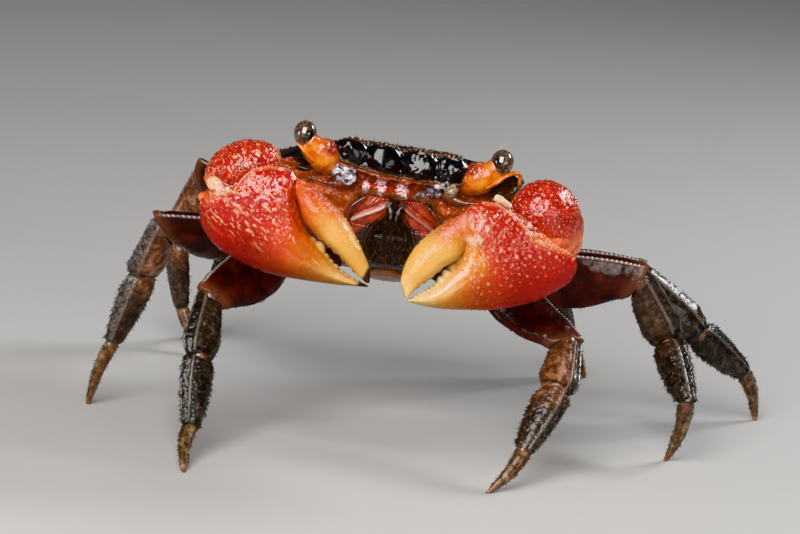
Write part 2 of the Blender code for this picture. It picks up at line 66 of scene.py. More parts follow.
MM = 0.001
SIDES = {"left": 1, "right": -1}
RNG = np.random.default_rng(29)

# Stance of the body
BODY_CENTRE = (-1.4, 0.0, 29.6)
BODY_PITCH = 16.0
BODY_ROLL = 3.0
EYE_CENTRE = (12.6, -13.2, 5.0)

# Carapace, as in the solids: half margin from front middle to rear middle
MARGIN = (
    (0.0, -12.3), (2.6, -12.9), (5.0, -12.6), (7.2, -12.9), (9.2, -12.4), (11.0, -11.1),
    (13.4, -10.7), (15.2, -11.7), (15.0, -9.4), (15.6, -8.5), (15.6, -3.0), (15.2, 2.5),
    (14.0, 7.6), (11.6, 11.4), (7.6, 13.3), (0.0, 13.6),
)
HALF_WIDTH = 15.6
FRONT_REACH = 12.9
REAR_REACH = 13.6
DOME_TOP = 6.0
DOME_POWER = 2.6
FRONT_HEIGHT = 4.9
SIDE_HEIGHT = 3.3
REAR_HEIGHT = 0.9
FRONT_SHOULDER = (11.7, 3.0)
FRONT_RISE = (8.0, 3.0)
REAR_FALL = (2.0, 11.0)
LOBE_EDGES = (4.6, 8.4)
LOBE_HEIGHT = 0.55
LOBE_POWER = 0.6
# Height, half width, front reach, rear reach and rounding of the rings below the margin
FLANK = (
    (2.3, 15.5, 13.1, 13.6, 0.0), (1.2, 15.3, 12.6, 13.6, 0.15), (0.4, 15.0, 11.4, 13.5, 0.5),
    (-1.6, 14.4, 11.3, 13.1, 1.0), (-4.0, 13.2, 10.3, 12.2, 1.0), (-6.2, 11.9, 9.4, 11.2, 1.0),
)
STERNUM = (
    (-5.6, 10.2, 9.0, 10.7, 1.0), (-6.5, 10.4, 9.2, 10.9, 1.0), (-8.2, 10.0, 8.7, 10.2, 1.0),
    (-9.6, 8.6, 7.8, 8.8, 1.0), (-10.0, 6.0, 5.6, 6.4, 1.0),
)
CORNER_POWER = 3.0
FLANK_FOOT = -6.2

FLAP_PATH = (
    (14.0, -0.6), (14.1, -3.6), (12.6, -7.4), (9.2, -9.9), (4.4, -10.6), (-0.6, -10.6), (-3.8, -10.4),
)
FLAP_HALF_WIDTH = (5.4, 5.2, 4.6, 3.9, 3.2, 2.4, 1.2)
FLAP_HALF_THICKNESS = 0.6
FLAP_SINK = 0.11
FLAP_SEGMENTS = 7

MOUTH_INNER = ((0.5, -1.8), (0.8, -3.5), (1.8, -5.2), (2.3, -7.2), (1.6, -9.2))
MOUTH_OUTER = ((4.1, -1.5), (5.5, -3.1), (6.0, -5.0), (5.6, -7.4), (3.8, -9.6))
MOUTH_FRONT = (-12.5, -12.2, -11.4, -10.5, -9.9)
MOUTH_DEPTH = 1.5

EYE_RADII = (1.45, 1.4, 1.65)
STALK_PATH = ((8.4, -10.6, 2.3), (9.8, -11.8, 2.8), (11.1, -12.5, 3.5), (12.2, -12.8, 4.1))
STALK_RADII = (2.15, 2.05, 1.65, 1.3)
FEELER_PATH = ((6.2, -10.0, 0.2), (6.5, -12.0, -0.2), (8.6, -13.2, -0.8), (11.6, -13.4, -0.4))
FEELER_RADII = (0.85, 0.75, 0.3, 0.14)

# Walking legs, as in the solids
HIPS = ((12.5, -6.0, -9.6), (14.0, -1.0, -9.2), (13.5, 4.2, -8.6), (11.5, 8.6, -7.6))
ROOT_INSET = 6.5
ROOT_LEAN = 0.12
ROOT_RISE = 0.9
LEG_LENGTHS = (
    (14.8, 8.2, 9.0, 7.1), (19.1, 9.0, 10.2, 9.2), (21.3, 11.0, 10.2, 8.3), (14.5, 8.0, 9.5, 7.5),
)
LEG_POSE = {
    "left": (
        ((35, -22), (99, -32), (125, -47), 140), ((5, 6), (-9, -59), (72, -35), -122),
        ((-14, 2), (-2, -40), (-30, -35), -45), ((-55, 5), (-48, -48), (-45, -60), -45),
    ),
    "right": (
        ((50, -18), (85, -50), (90, -60), 90), ((39, 12), (-63, -55), (-20, -70), -3),
        ((-52, 13), (-47, -63), (39, -102), 134), ((-60, 2), (-52, -50), (-48, -65), -48),
    ),
}
SEGMENTS = ("root", "merus", "carpus", "propodus", "dactylus")
BREADTHS = {
    "root": (2.1, 2.3, 1.9, 2.2, 2.3), "merus": (2.3, 2.9, 3.7, 3.9, 3.6, 3.0, 2.2),
    "carpus": (1.7, 2.0, 2.3, 2.5, 2.6, 2.0), "propodus": (1.9, 2.25, 2.2, 2.0, 1.7, 1.25),
    "dactylus": (1.05, 1.05, 0.9, 0.75, 0.55, 0.3),
}
THICKNESSES = {
    "root": (1.6, 1.75, 1.4, 1.6, 1.6), "merus": (1.6, 1.65, 1.6, 1.5, 1.5, 1.5, 1.3),
    "carpus": (1.2, 1.35, 1.45, 1.5, 1.5, 1.2), "propodus": (1.15, 1.35, 1.35, 1.25, 1.1, 0.85),
    "dactylus": (0.8, 0.85, 0.75, 0.62, 0.48, 0.3),
}
# Size of each pair of legs against the middle ones, and how their segments taper, turn and bow
PAIR_SCALE = (0.95, 1.0, 1.0, 0.88)
CREST_TAPER = 0.4
TURN_SHARE = 0.45
DACTYLUS_BOW = 0.5
# Gap at a joint, how deep a segment sits in it, and the soft skin at knee, wrist and ankle
JOINT_GAP = 0.3
JOINT_DEPTH = 0.35
JOINT_SKIN_RADII = ((2, 1.35), (3, 1.2), (4, 0.8))
JOINT_SKIN_REACH = 0.9

# Rings along each mesh, and points round each ring
BODY_COLUMNS = 640
DOME_ROWS = 96
FLANK_ROWS = 120
STERNUM_GRID = (40, 360)
ABDOMEN_GRID = (140, 72)
MOUTH_GRID = (110, 96)
EYE_GRID = (48, 64)
STALK_GRID = (90, 84)
LEG_GRIDS = {
    "root": (16, 96), "merus": (116, 96), "carpus": (80, 96), "propodus": (84, 88), "dactylus": (64, 44),
}
HAND_GRID = (320, 240)
FINGER_GRID = (220, 160)
WRIST_GRID = (150, 200)
# Rows over which the edge of the shell rounds into the flank, and how far each drops
EDGE_ROWS = 14
EDGE_STEP = 0.1

# Claws, close to the solids
HAND_START = {"left": (16.6, -22.5, 31.9), "right": (-21.9, -24.0, 33.1)}
HAND_HEADING = {"left": 146.0, "right": 167.0}
HAND_PITCH = {"left": -22.0, "right": -24.0}
HAND_TURN = {"left": 8.0, "right": 6.0}
HAND_TOP = {
    "left": (
        (-2.1, -4.0), (-0.6, -1.7), (1.1, 0.9), (2.9, 3.5), (5.0, 5.4), (7.4, 6.4), (9.6, 5.6),
        (10.9, 3.2), (12.5, 1.1), (15.0, -0.3), (17.5, -0.9), (20.0, -0.7),
    ),
    "right": (
        (-1.0, -0.6), (-0.8, 1.3), (0.3, 3.3), (2.0, 5.0), (4.3, 6.1), (6.6, 5.9), (8.5, 3.2),
        (10.7, 1.0), (12.7, 0.3), (14.5, -0.4), (16.5, -1.0), (18.9, -1.1), (20.6, -0.9),
    ),
}
HAND_BOTTOM = {
    "left": (
        (-3.2, -5.1), (-2.6, -6.3), (-1.1, -7.7), (1.3, -8.3), (4.4, -8.2), (7.6, -7.5), (10.3, -6.6),
        (12.9, -5.4), (15.2, -4.3), (17.2, -3.2), (18.8, -2.1), (20.2, -1.0),
    ),
    "right": (
        (-2.2, -1.3), (-1.8, -3.3), (-0.4, -5.3), (1.4, -6.4), (4.0, -6.8), (7.1, -6.6), (9.9, -6.0),
        (12.3, -5.1), (14.4, -4.2), (16.2, -3.4), (17.9, -2.6), (19.4, -1.8), (20.8, -1.1),
    ),
}
HAND_THICKNESS = {
    "left": (2.2, 3.6, 4.3, 4.4, 4.0, 3.6, 3.1, 2.7, 2.2, 1.7, 1.0, 0.4),
    "right": (2.2, 3.6, 4.3, 4.3, 4.0, 3.5, 3.1, 2.8, 2.4, 1.9, 1.5, 1.0, 0.4),
}
FINGER_TOP = {
    "left": (
        (8.4, 6.2), (9.9, 5.9), (11.9, 5.8), (14.0, 5.5), (16.2, 4.9), (18.0, 4.0), (19.5, 2.8),
        (20.4, 1.5), (20.5, 0.1),
    ),
    "right": (
        (6.9, 5.9), (8.8, 6.0), (10.8, 5.6), (12.8, 5.2), (14.9, 4.4), (16.9, 3.2), (18.7, 2.1),
        (20.2, 0.8), (20.8, -0.3),
    ),
}
FINGER_BOTTOM = {
    "left": (
        (9.5, 2.7), (10.6, 2.1), (11.7, 1.6), (13.1, 1.2), (14.8, 1.1), (16.4, 0.6), (18.0, 0.4),
        (19.2, 0.0), (20.1, -0.3),
    ),
    "right": (
        (8.6, 3.3), (9.4, 2.4), (10.2, 1.8), (11.3, 1.4), (12.9, 1.1), (14.9, 0.7), (16.9, 0.2),
        (18.7, -0.3), (20.2, -0.6),
    ),
}
FINGER_THICKNESS = {
    "left": (0.4, 1.1, 2.1, 2.5, 2.2, 1.8, 1.3, 0.8, 0.35),
    "right": (1.7, 2.4, 2.6, 2.5, 2.2, 1.8, 1.3, 0.8, 0.35),
}
# Teeth of the cutting edges: place along the hand, height, half width
HAND_TEETH = {
    "right": ((12.3, 0.25, 0.5), (13.5, 0.75, 0.75), (14.7, 0.3, 0.4), (15.5, 0.25, 0.4), (16.3, 0.28, 0.4),
              (17.2, 0.22, 0.35), (18.0, 0.2, 0.35), (18.8, 0.18, 0.3), (19.6, 0.15, 0.3)),
    "left": ((12.4, 0.3, 0.45), (13.3, 0.35, 0.4), (14.4, 0.65, 0.5), (15.3, 0.6, 0.45), (16.1, 0.3, 0.3),
             (16.7, 0.3, 0.3), (17.3, 0.28, 0.3), (17.9, 0.26, 0.3), (18.5, 0.24, 0.28), (19.1, 0.2, 0.28)),
}
FINGER_TEETH = ((11.8, 0.2, 0.35), (12.8, 0.3, 0.45), (14.2, 0.22, 0.4), (15.2, 0.3, 0.45),
                (16.5, 0.22, 0.35), (17.4, 0.24, 0.35), (18.4, 0.18, 0.3))
WRIST_CENTRE = {"left": (17.3, -19.4, 32.8), "right": (-20.5, -20.6, 35.2)}
WRIST_RADII = {"left": (4.7, 4.4, 4.2), "right": (5.0, 3.5, 4.1)}
WRIST_SLANT = (0.6, 0.8)
# Share by which the lower part of each wrist hangs longer than an egg
WRIST_SAG = {"left": 0.62, "right": 0.0}
ARM_ROOT = (5.5, -6.0, -7.2)
ARM_KNEE = (9.2, -11.7, -6.8)
ARM_BREADTH = (1.8, 2.3, 2.8, 3.1, 3.0, 2.6)
ARM_THICKNESS = (1.8, 2.1, 2.3, 2.4, 2.3, 2.0)


# Arithmetic


def unit(vectors):
    return vectors / (np.linalg.norm(vectors, axis=-1, keepdims=True) + 1e-12)


def smooth(t):
    t = np.clip(t, 0.0, 1.0)
    return t * t * (3 - 2 * t)


def through(points, t):
    """Points at t, from 0 to 1, on the smooth curve through evenly numbered points."""
    points = np.array(points, float)
    spans = len(points) - 1
    place = np.clip(t, 0.0, 1.0) * spans
    start = np.minimum(np.floor(place).astype(int), spans - 1)
    f = (place - start)[..., None]
    a, b, c, d = (points[np.clip(start + k, 0, spans)] for k in (-1, 0, 1, 2))
    return b + 0.5 * f * (c - a + f * (2 * a - 5 * b + 4 * c - d + f * (3 * (b - c) + d - a)))


def profile(values, t):
    return through([(value,) for value in values], t)[..., 0]


def bump(distance):
    """1 at the middle, falling smoothly to 0 at a distance of 1."""
    return smooth(1 - np.abs(distance))


def noise(points, size, seed=0):
    """Smooth random field from -1 to 1, with features about this size."""
    cells = points / size
    base = np.floor(cells).astype(np.int64)
    f = cells - base
    f = f * f * (3 - 2 * f)
    total = np.zeros(points.shape[:-1])
    for corner in np.ndindex(2, 2, 2):
        key = (base + corner) @ np.array((73856093, 19349663, 83492791)) + seed * 40503
        key = ((key ^ (key >> 13)) * 1274126177) & 0x7FFFFFFF
        key = ((key ^ (key >> 11)) * 668265263) & 0x7FFFFFFF
        weight = np.prod(np.where(corner, f, 1 - f), axis=-1)
        total += ((key >> 8) / 0x3FFFFF - 1) * weight
    return total


def rough(points, size, seed=0, octaves=3):
    return sum(noise(points, size / 2 ** k, seed + k) / 2 ** k for k in range(octaves))


def near_line(places, path, width):
    """1 on the line through these points, falling to 0 at its width."""
    best = np.full(places.shape[:-1], 1e9)
    for a, b in zip(np.array(path[:-1], float), np.array(path[1:], float)):
        t = np.clip(((places - a) @ (b - a)) / ((b - a) @ (b - a)), 0, 1)
        best = np.minimum(best, np.linalg.norm(places - a - t[..., None] * (b - a), axis=-1))
    return smooth(1 - best / width)


def near_spot(places, spot, radii):
    """1 at the middle of an oval, falling to 0 at its rim."""
    offset = (places - np.array(spot)) / np.array(radii)
    return smooth(1 - np.linalg.norm(offset, axis=-1))


def beside(angle, middle, half):
    """1 at an angle round a ring, falling to 0 at half its width to each side."""
    return bump(((angle - middle + pi) % (2 * pi) - pi) / half)


# Frame of the body


def turn_matrix():
    turn = Matrix.Rotation(radians(BODY_ROLL), 3, "Y") @ Matrix.Rotation(radians(-BODY_PITCH), 3, "X")
    return np.array(turn)


BODY = turn_matrix()


def eye_shift():
    """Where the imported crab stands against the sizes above, found from its left eye."""
    low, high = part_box("eye_left")
    seen = (np.array(low) + np.array(high)) / 2 / MM
    return seen - np.array(BODY_CENTRE) - BODY @ np.array(EYE_CENTRE)


SHIFT = eye_shift()


def placed(points):
    return np.asarray(points, float) + SHIFT


def on_body(points):
    return placed(BODY_CENTRE) + np.asarray(points, float) @ BODY.T


def mirrored(points, side):
    return np.array(points, float) * (side, 1, 1)


# Meshes


def outward(grid):
    """Normals of a closed grid of rings, facing out, and 1 or -1 for the order of its faces."""
    across = np.roll(grid, -1, 1) - np.roll(grid, 1, 1)
    along = np.gradient(grid, axis=0)
    normals = unit(np.cross(across, along))
    middle = grid.mean(axis=1, keepdims=True)
    order = 1 if ((grid - middle) * normals).sum() > 0 else -1
    return normals * order, order


def raised(grid, height):
    return grid + outward(grid)[0] * height[..., None]


# Rows of a rounded end
CAP_ROWS = 7


def with_cap(grid, depth, last, count=CAP_ROWS):
    """Grid with rounded rows added past its last or its first ring."""
    ring, inner = (grid[-1], grid[-2]) if last else (grid[0], grid[1])
    centre = ring.mean(axis=0)
    away = unit(ring.mean(axis=0) - inner.mean(axis=0)) * depth
    rows = []
    for k in range(1, count + 1):
        a = k / (count + 0.35) * pi / 2
        rows.append(centre + (ring - centre) * cos(a) + away * sin(a))
    rows = np.array(rows)
    return np.concatenate((grid, rows)) if last else np.concatenate((rows[::-1], grid))


def capped(grid, last, first):
    """Grid with rounded rows of these depths added past both ends."""
    return with_cap(with_cap(grid, last, True), first, False)


def stretched(mask, last, first):
    """Mask with its end rows repeated, to fit a grid that has gained caps."""
    return np.pad(mask, ((first, last), (0, 0)), mode="edge")


def add_mesh(name, points, faces, masks=None):
    """Mesh piece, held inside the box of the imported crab."""
    mesh = bpy.data.meshes.new(name)
    held = np.clip(points * MM, *CAD_LIMITS)
    mesh.from_pydata(held.tolist(), [], faces)
    for mask, values in (masks or {}).items():
        mesh.attributes.new(mask, "FLOAT", "POINT").data.foreach_set("value", values.astype(np.float32))
    mesh.shade_smooth()
    made = bpy.data.objects.new(name, mesh)
    bpy.context.collection.objects.link(made)
    return made


def plate(name, grid, masks=None):
    """Closed mesh over a grid of rings, with a point at each end."""
    rows, columns = grid.shape[:2]
    order = outward(grid)[1]
    i, j = np.meshgrid(np.arange(rows - 1), np.arange(columns), indexing="ij")
    k = (j + 1) % columns
    quads = np.stack((i * columns + j, i * columns + k, (i + 1) * columns + k, (i + 1) * columns + j), -1)
    ring = np.arange(columns)
    after = (ring + 1) % columns
    first = np.full(columns, rows * columns)
    head = np.stack((first, after, ring), -1)
    tail = np.stack((first + 1, ring + (rows - 1) * columns, after + (rows - 1) * columns), -1)
    faces = [quads.reshape(-1, 4), head, tail]
    if order < 0:
        faces = [part[:, ::-1] for part in faces]
    points = np.concatenate((grid.reshape(-1, 3), [grid[0].mean(axis=0), grid[-1].mean(axis=0)]))
    values = {
        mask: np.concatenate((value.ravel(), [value[0].mean(), value[-1].mean()]))
        for mask, value in (masks or {}).items()
    }
    return add_mesh(name, points, [face for part in faces for face in part.tolist()], values)


def scatter(points, weight, spacing, limit=6000):
    """Indices of points no closer than the spacing, drawn more often where the weight is high."""
    order = RNG.permutation(len(points))
    order = order[RNG.random(len(order)) < weight[order]][:limit]
    cells, chosen = {}, []
    for index in order:
        point = points[index]
        key = tuple((point // spacing).astype(int))
        around = [
            other for dx in (-1, 0, 1) for dy in (-1, 0, 1) for dz in (-1, 0, 1)
            for other in cells.get((key[0] + dx, key[1] + dy, key[2] + dz), ())
        ]
        if all(((points[other] - point) ** 2).sum() > spacing ** 2 for other in around):
            chosen.append(index)
            cells.setdefault(key, []).append(index)
    return np.array(chosen, int)


def beads(grid, centres, radii):
    """How near each grid point is to the top of its nearest bead, from 0 to 1."""
    tree = KDTree(len(centres))
    for index, centre in enumerate(centres):
        tree.insert(centre, index)
    tree.balance()
    points = grid.reshape(-1, 3)
    nearest = np.array([tree.find(point)[1] for point in points])
    squared = ((points - centres[nearest]) ** 2).sum(axis=-1)
    near = np.clip(1 - squared / radii[nearest] ** 2, 0, 1)
    return np.sqrt(near).reshape(grid.shape[:2])


def granules(grid, weight, sizes):
    """Round granules of several sizes: their spacing, smallest and largest radius."""
    flat = grid.reshape(-1, 3)
    total = np.zeros(grid.shape[:2])
    for spacing, least, most in sizes:
        chosen = scatter(flat, weight.ravel(), spacing, 12000)
        total = np.maximum(total, beads(grid, flat[chosen], RNG.uniform(least, most, len(chosen))))
    return total


def streaks(points, way, size, seed):
    """Wavering streaks along one direction: 1 on a streak, 0 between; size is their length and width."""
    sway = np.stack([noise(points, 1.5, seed + k) for k in (1, 2, 3)], axis=-1)
    points = points + 0.3 * sway
    along = (points @ way)[..., None]
    squeezed = (points - along * way) / size[1] + along * way / size[0]
    field = noise(squeezed, 1.0, seed) + 0.4 * noise(squeezed, 0.5, seed + 4)
    return smooth((field - 0.30) / 0.35)


def spikes(name, roots, directions, lengths, radius, bend=0.25, sides=4, rings=4):
    """Tapered bristles joined in one mesh, each bent a little to one side."""
    roots, directions = np.array(roots), unit(np.array(directions))
    lengths = np.array(lengths, float)
    across = unit(np.cross(directions, RNG.normal(size=directions.shape)))
    up = np.cross(directions, across)
    lean = unit(across + 0.3 * up)
    rows = []
    for k in range(rings):
        t = k / rings
        centre = roots + directions * (lengths * t)[:, None] + lean * (lengths * bend * t * t)[:, None]
        for side in range(sides):
            a = 2 * pi * side / sides
            rows.append(centre + (across * cos(a) + up * sin(a)) * radius * (1 - t) ** 0.7)
    rows.append(roots + directions * lengths[:, None] + lean * (lengths * bend)[:, None])
    points = np.stack(rows, axis=1)
    size = points.shape[1]
    faces = [tuple(range(sides))[::-1]]
    for k in range(rings - 1):
        for side in range(sides):
            a, b = k * sides + side, k * sides + (side + 1) % sides
            faces.append((a, b, b + sides, a + sides))
    for side in range(sides):
        a, b = (rings - 1) * sides + side, (rings - 1) * sides + (side + 1) % sides
        faces.append((a, b, size - 1))
    every = [tuple(index + n * size for index in face) for n in range(len(roots)) for face in faces]
    return add_mesh(name, points.reshape(-1, 3), every)


def finished(piece, material, slot, *nodes):
    piece.data.materials.append(material)
    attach(piece, "root")
    if nodes:
        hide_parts(*nodes)
    return piece


# Shared effects of the materials


def new_group(name, inputs, outputs):
    tree = bpy.data.node_groups.new(name, "ShaderNodeTree")
    for label, value in inputs:
        socket = tree.interface.new_socket(label, in_out="INPUT", socket_type="NodeSocketFloat")
        socket.default_value = value
    for label in outputs:
        tree.interface.new_socket(label, in_out="OUTPUT", socket_type="NodeSocketFloat")
    return tree, tree.nodes.new("NodeGroupInput"), tree.nodes.new("NodeGroupOutput")


def number(tree, operation, *values, clamp=False):
    """Math node; each value is a socket or a plain number."""
    made = tree.nodes.new("ShaderNodeMath")
    made.operation = operation
    made.use_clamp = clamp
    for socket, value in zip(made.inputs, values):
        if isinstance(value, (int, float)):
            socket.default_value = value
        else:
            tree.links.new(value, socket)
    return made.outputs[0]


def scaled_place(tree, size):
    """Place on the object, divided by a size in millimetres."""
    place = tree.nodes.new("ShaderNodeTexCoord").outputs["Object"]
    divide = tree.nodes.new("ShaderNodeVectorMath")
    divide.operation = "SCALE"
    tree.links.new(place, divide.inputs[0])
    tree.links.new(number(tree, "DIVIDE", 1 / MM, size), divide.inputs["Scale"])
    return divide.outputs[0]


def noise_node(tree, place, detail, roughness=0.55):
    made = tree.nodes.new("ShaderNodeTexNoise")
    made.inputs["Scale"].default_value = 1.0
    made.inputs["Detail"].default_value = detail
    made.inputs["Roughness"].default_value = roughness
    tree.links.new(place, made.inputs["Vector"])
    return made.outputs[0]


def mottle_group():
    """Soft blotches: a mask with blotches of a given size, and its contrast."""
    tree, given, made = new_group("Shell mottle", (("Size", 1.5), ("Contrast", 2.0)), ("Mask",))
    spread = noise_node(tree, scaled_place(tree, given.outputs["Size"]), 4.0)
    centred = number(tree, "SUBTRACT", spread, 0.5)
    strong = number(tree, "MULTIPLY", centred, given.outputs["Contrast"])
    tree.links.new(number(tree, "ADD", strong, 0.5, clamp=True), made.inputs["Mask"])
    return tree


def net_group():
    """Wavering net: 1 on its threads, 0 in its meshes."""
    tree, given, made = new_group("Shell net", (("Size", 0.8), ("Width", 0.15)), ("Mask",))
    place = scaled_place(tree, given.outputs["Size"])
    waver = tree.nodes.new("ShaderNodeTexNoise")
    waver.inputs["Scale"].default_value = 1.3
    tree.links.new(place, waver.inputs["Vector"])
    swayed = tree.nodes.new("ShaderNodeVectorMath")
    swayed.operation = "MULTIPLY_ADD"
    swayed.inputs[1].default_value = (0.9, 0.9, 0.9)
    tree.links.new(waver.outputs["Color"], swayed.inputs[0])
    tree.links.new(place, swayed.inputs[2])
    cells = tree.nodes.new("ShaderNodeTexVoronoi")
    cells.feature = "DISTANCE_TO_EDGE"
    cells.inputs["Scale"].default_value = 1.0
    tree.links.new(swayed.outputs[0], cells.inputs["Vector"])
    share = number(tree, "DIVIDE", cells.outputs["Distance"], given.outputs["Width"], clamp=True)
    tree.links.new(number(tree, "SUBTRACT", 1.0, share), made.inputs["Mask"])
    return tree


def grain_group():
    """Fine relief of wet shell: shallow waves, grains and small pits, as a height."""
    inputs = (("Grain size", 0.3), ("Pit size", 0.5), ("Pits", 0.5), ("Level", 1.0))
    tree, given, made = new_group("Shell grain", inputs, ("Height", "Pits"))
    waves = noise_node(tree, scaled_place(tree, given.outputs["Grain size"]), 3.0)
    cells = tree.nodes.new("ShaderNodeTexVoronoi")
    cells.inputs["Scale"].default_value = 1.0
    tree.links.new(scaled_place(tree, given.outputs["Pit size"]), cells.inputs["Vector"])
    rim = number(tree, "MULTIPLY", cells.outputs["Distance"], 3.0, clamp=True)
    hollow = number(tree, "SUBTRACT", 1.0, rim)
    deep = number(tree, "MULTIPLY", hollow, given.outputs["Pits"])
    relief = number(tree, "SUBTRACT", waves, deep)
    tree.links.new(number(tree, "MULTIPLY", relief, given.outputs["Level"]), made.inputs["Height"])
    tree.links.new(hollow, made.inputs["Pits"])
    return tree


MOTTLE = mottle_group()
NET = net_group()
GRAIN = grain_group()


class Finish:
    """One material and the nodes that are added to it."""

    def __init__(self, name, roughness=0.3, coat=0.6, coat_roughness=0.08, specular=0.5, glow=0.0):
        self.material = bpy.data.materials.new(name)
        self.material.use_nodes = True
        self.tree = self.material.node_tree
        self.shader = self.tree.nodes["Principled BSDF"]
        self.shader.inputs["Roughness"].default_value = roughness
        self.shader.inputs["Coat Weight"].default_value = coat
        self.shader.inputs["Coat Roughness"].default_value = coat_roughness
        self.shader.inputs["Specular IOR Level"].default_value = specular
        if glow:
            self.shader.inputs["Subsurface Weight"].default_value = glow
            self.shader.inputs["Subsurface Scale"].default_value = GLOW_DEPTH * MM
            self.shader.inputs["Subsurface Radius"].default_value = GLOW_RADIUS

    def mask(self, name):
        made = self.tree.nodes.new("ShaderNodeAttribute")
        made.attribute_name = name
        return made.outputs["Fac"]

    def mottle(self, size, contrast=2.0):
        made = self.tree.nodes.new("ShaderNodeGroup")
        made.node_tree = MOTTLE
        made.inputs["Size"].default_value = size
        made.inputs["Contrast"].default_value = contrast
        return made.outputs["Mask"]

    def net(self, size, width):
        made = self.tree.nodes.new("ShaderNodeGroup")
        made.node_tree = NET
        made.inputs["Size"].default_value = size
        made.inputs["Width"].default_value = width
        return made.outputs["Mask"]

    def math(self, operation, *values, clamp=True):
        return number(self.tree, operation, *values, clamp=clamp)

    def share(self, factor, amount):
        return self.math("MULTIPLY", factor, amount)

    def ramp(self, factor, stops):
        made = self.tree.nodes.new("ShaderNodeValToRGB")
        self.tree.links.new(factor, made.inputs[0])
        elements = made.color_ramp.elements
        while len(elements) < len(stops):
            elements.new(0.5)
        for element, (place, colour) in zip(elements, stops):
            element.position = place
            element.color = (*colour, 1)
        return made.outputs[0]

    def mix(self, factor, low, high, blend="MIX"):
        made = self.tree.nodes.new("ShaderNodeMix")
        made.data_type = "RGBA"
        made.blend_type = blend
        for socket, value in ((made.inputs[0], factor), (made.inputs[6], low), (made.inputs[7], high)):
            if isinstance(value, tuple):
                socket.default_value = (*value, 1)
            elif isinstance(value, (int, float)):
                socket.default_value = value
            else:
                self.tree.links.new(value, socket)
        return made.outputs[2]

    def masked(self, name, amount, low, high):
        """Mix toward high by a share of a painted mask."""
        return self.mix(self.share(self.mask(name), amount), low, high)

    def colour(self, value):
        if isinstance(value, tuple):
            self.shader.inputs["Base Color"].default_value = (*value, 1)
        else:
            self.tree.links.new(value, self.shader.inputs["Base Color"])

    def spread(self, socket, mask, low, high):
        """Feed a socket with low where the mask is 0 and high where it is 1."""
        made = self.tree.nodes.new("ShaderNodeMapRange")
        self.tree.links.new(mask, made.inputs[0])
        made.inputs[3].default_value = low
        made.inputs[4].default_value = high
        self.tree.links.new(made.outputs[0], self.shader.inputs[socket])

    def grain(self, size, depth, pit_size=0.6, pits=0.0, calm=None):
        """Relief of this depth in millimetres, smoothed away where the calm mask is 1."""
        made = self.tree.nodes.new("ShaderNodeGroup")
        made.node_tree = GRAIN
        made.inputs["Grain size"].default_value = size
        made.inputs["Pit size"].default_value = pit_size
        made.inputs["Pits"].default_value = pits
        if calm:
            level = number(self.tree, "SUBTRACT", 1.0, self.mask(calm), clamp=True)
            self.tree.links.new(level, made.inputs["Level"])
        relief = self.tree.nodes.new("ShaderNodeBump")
        relief.inputs["Strength"].default_value = 1.0
        relief.inputs["Distance"].default_value = depth * MM
        self.tree.links.new(made.outputs["Height"], relief.inputs["Height"])
        self.tree.links.new(relief.outputs[0], self.shader.inputs["Normal"])


# How far light spreads inside pale shell, in millimetres, and how far red, green and blue carry
GLOW_DEPTH = 0.8
GLOW_RADIUS = (1.0, 0.35, 0.15)

# How strongly the water on the claws reflects
WET_CLAW_IOR = 1.8

# Colours of the shell, from deep red to ivory, and of its dark and pale parts
RED = (0.44, 0.010, 0.003)
DEEP_RED = (0.22, 0.005, 0.002)
SCARLET = (0.56, 0.036, 0.005)
ORANGE = (0.54, 0.075, 0.006)
AMBER = (0.66, 0.21, 0.022)
CREAM = (0.76, 0.42, 0.11)
IVORY = (0.84, 0.64, 0.32)
PEARL = (0.88, 0.62, 0.46)
PETAL = (0.82, 0.33, 0.16)
SALMON = (0.72, 0.15, 0.045)
HORN = (0.035, 0.012, 0.006)
BLACK = (0.004, 0.0035, 0.004)
SOOT = (0.012, 0.009, 0.008)
UMBER = (0.05, 0.022, 0.011)
MAROON = (0.07, 0.004, 0.003)
RUST = (0.28, 0.042, 0.010)
TAN = (0.34, 0.16, 0.07)
CUT_BROWN = (0.20, 0.07, 0.025)
GRANULE = (0.84, 0.42, 0.22)
WRIST_GRANULE = (0.82, 0.40, 0.20)
FOLD_AMBER = (0.78, 0.34, 0.10)
# Tints that the shell is multiplied by: random blotches, and painted shade on its undersides
BLOTCH_TINT = (0.74, 0.36, 0.26)
HAND_SHADE = (0.40, 0.27, 0.10)
FINGER_SHADE = (0.60, 0.50, 0.30)
# Painted reflection: dark skin with pale blue-white patches standing in for the lamps' reflections
PAINTED_REFLECTION_STOPS = (
    (0.0, (0.10, 0.022, 0.014)), (0.30, (0.06, 0.03, 0.03)), (0.44, (0.22, 0.19, 0.22)),
    (0.60, (0.42, 0.40, 0.46)), (0.80, (0.76, 0.75, 0.82)),
)


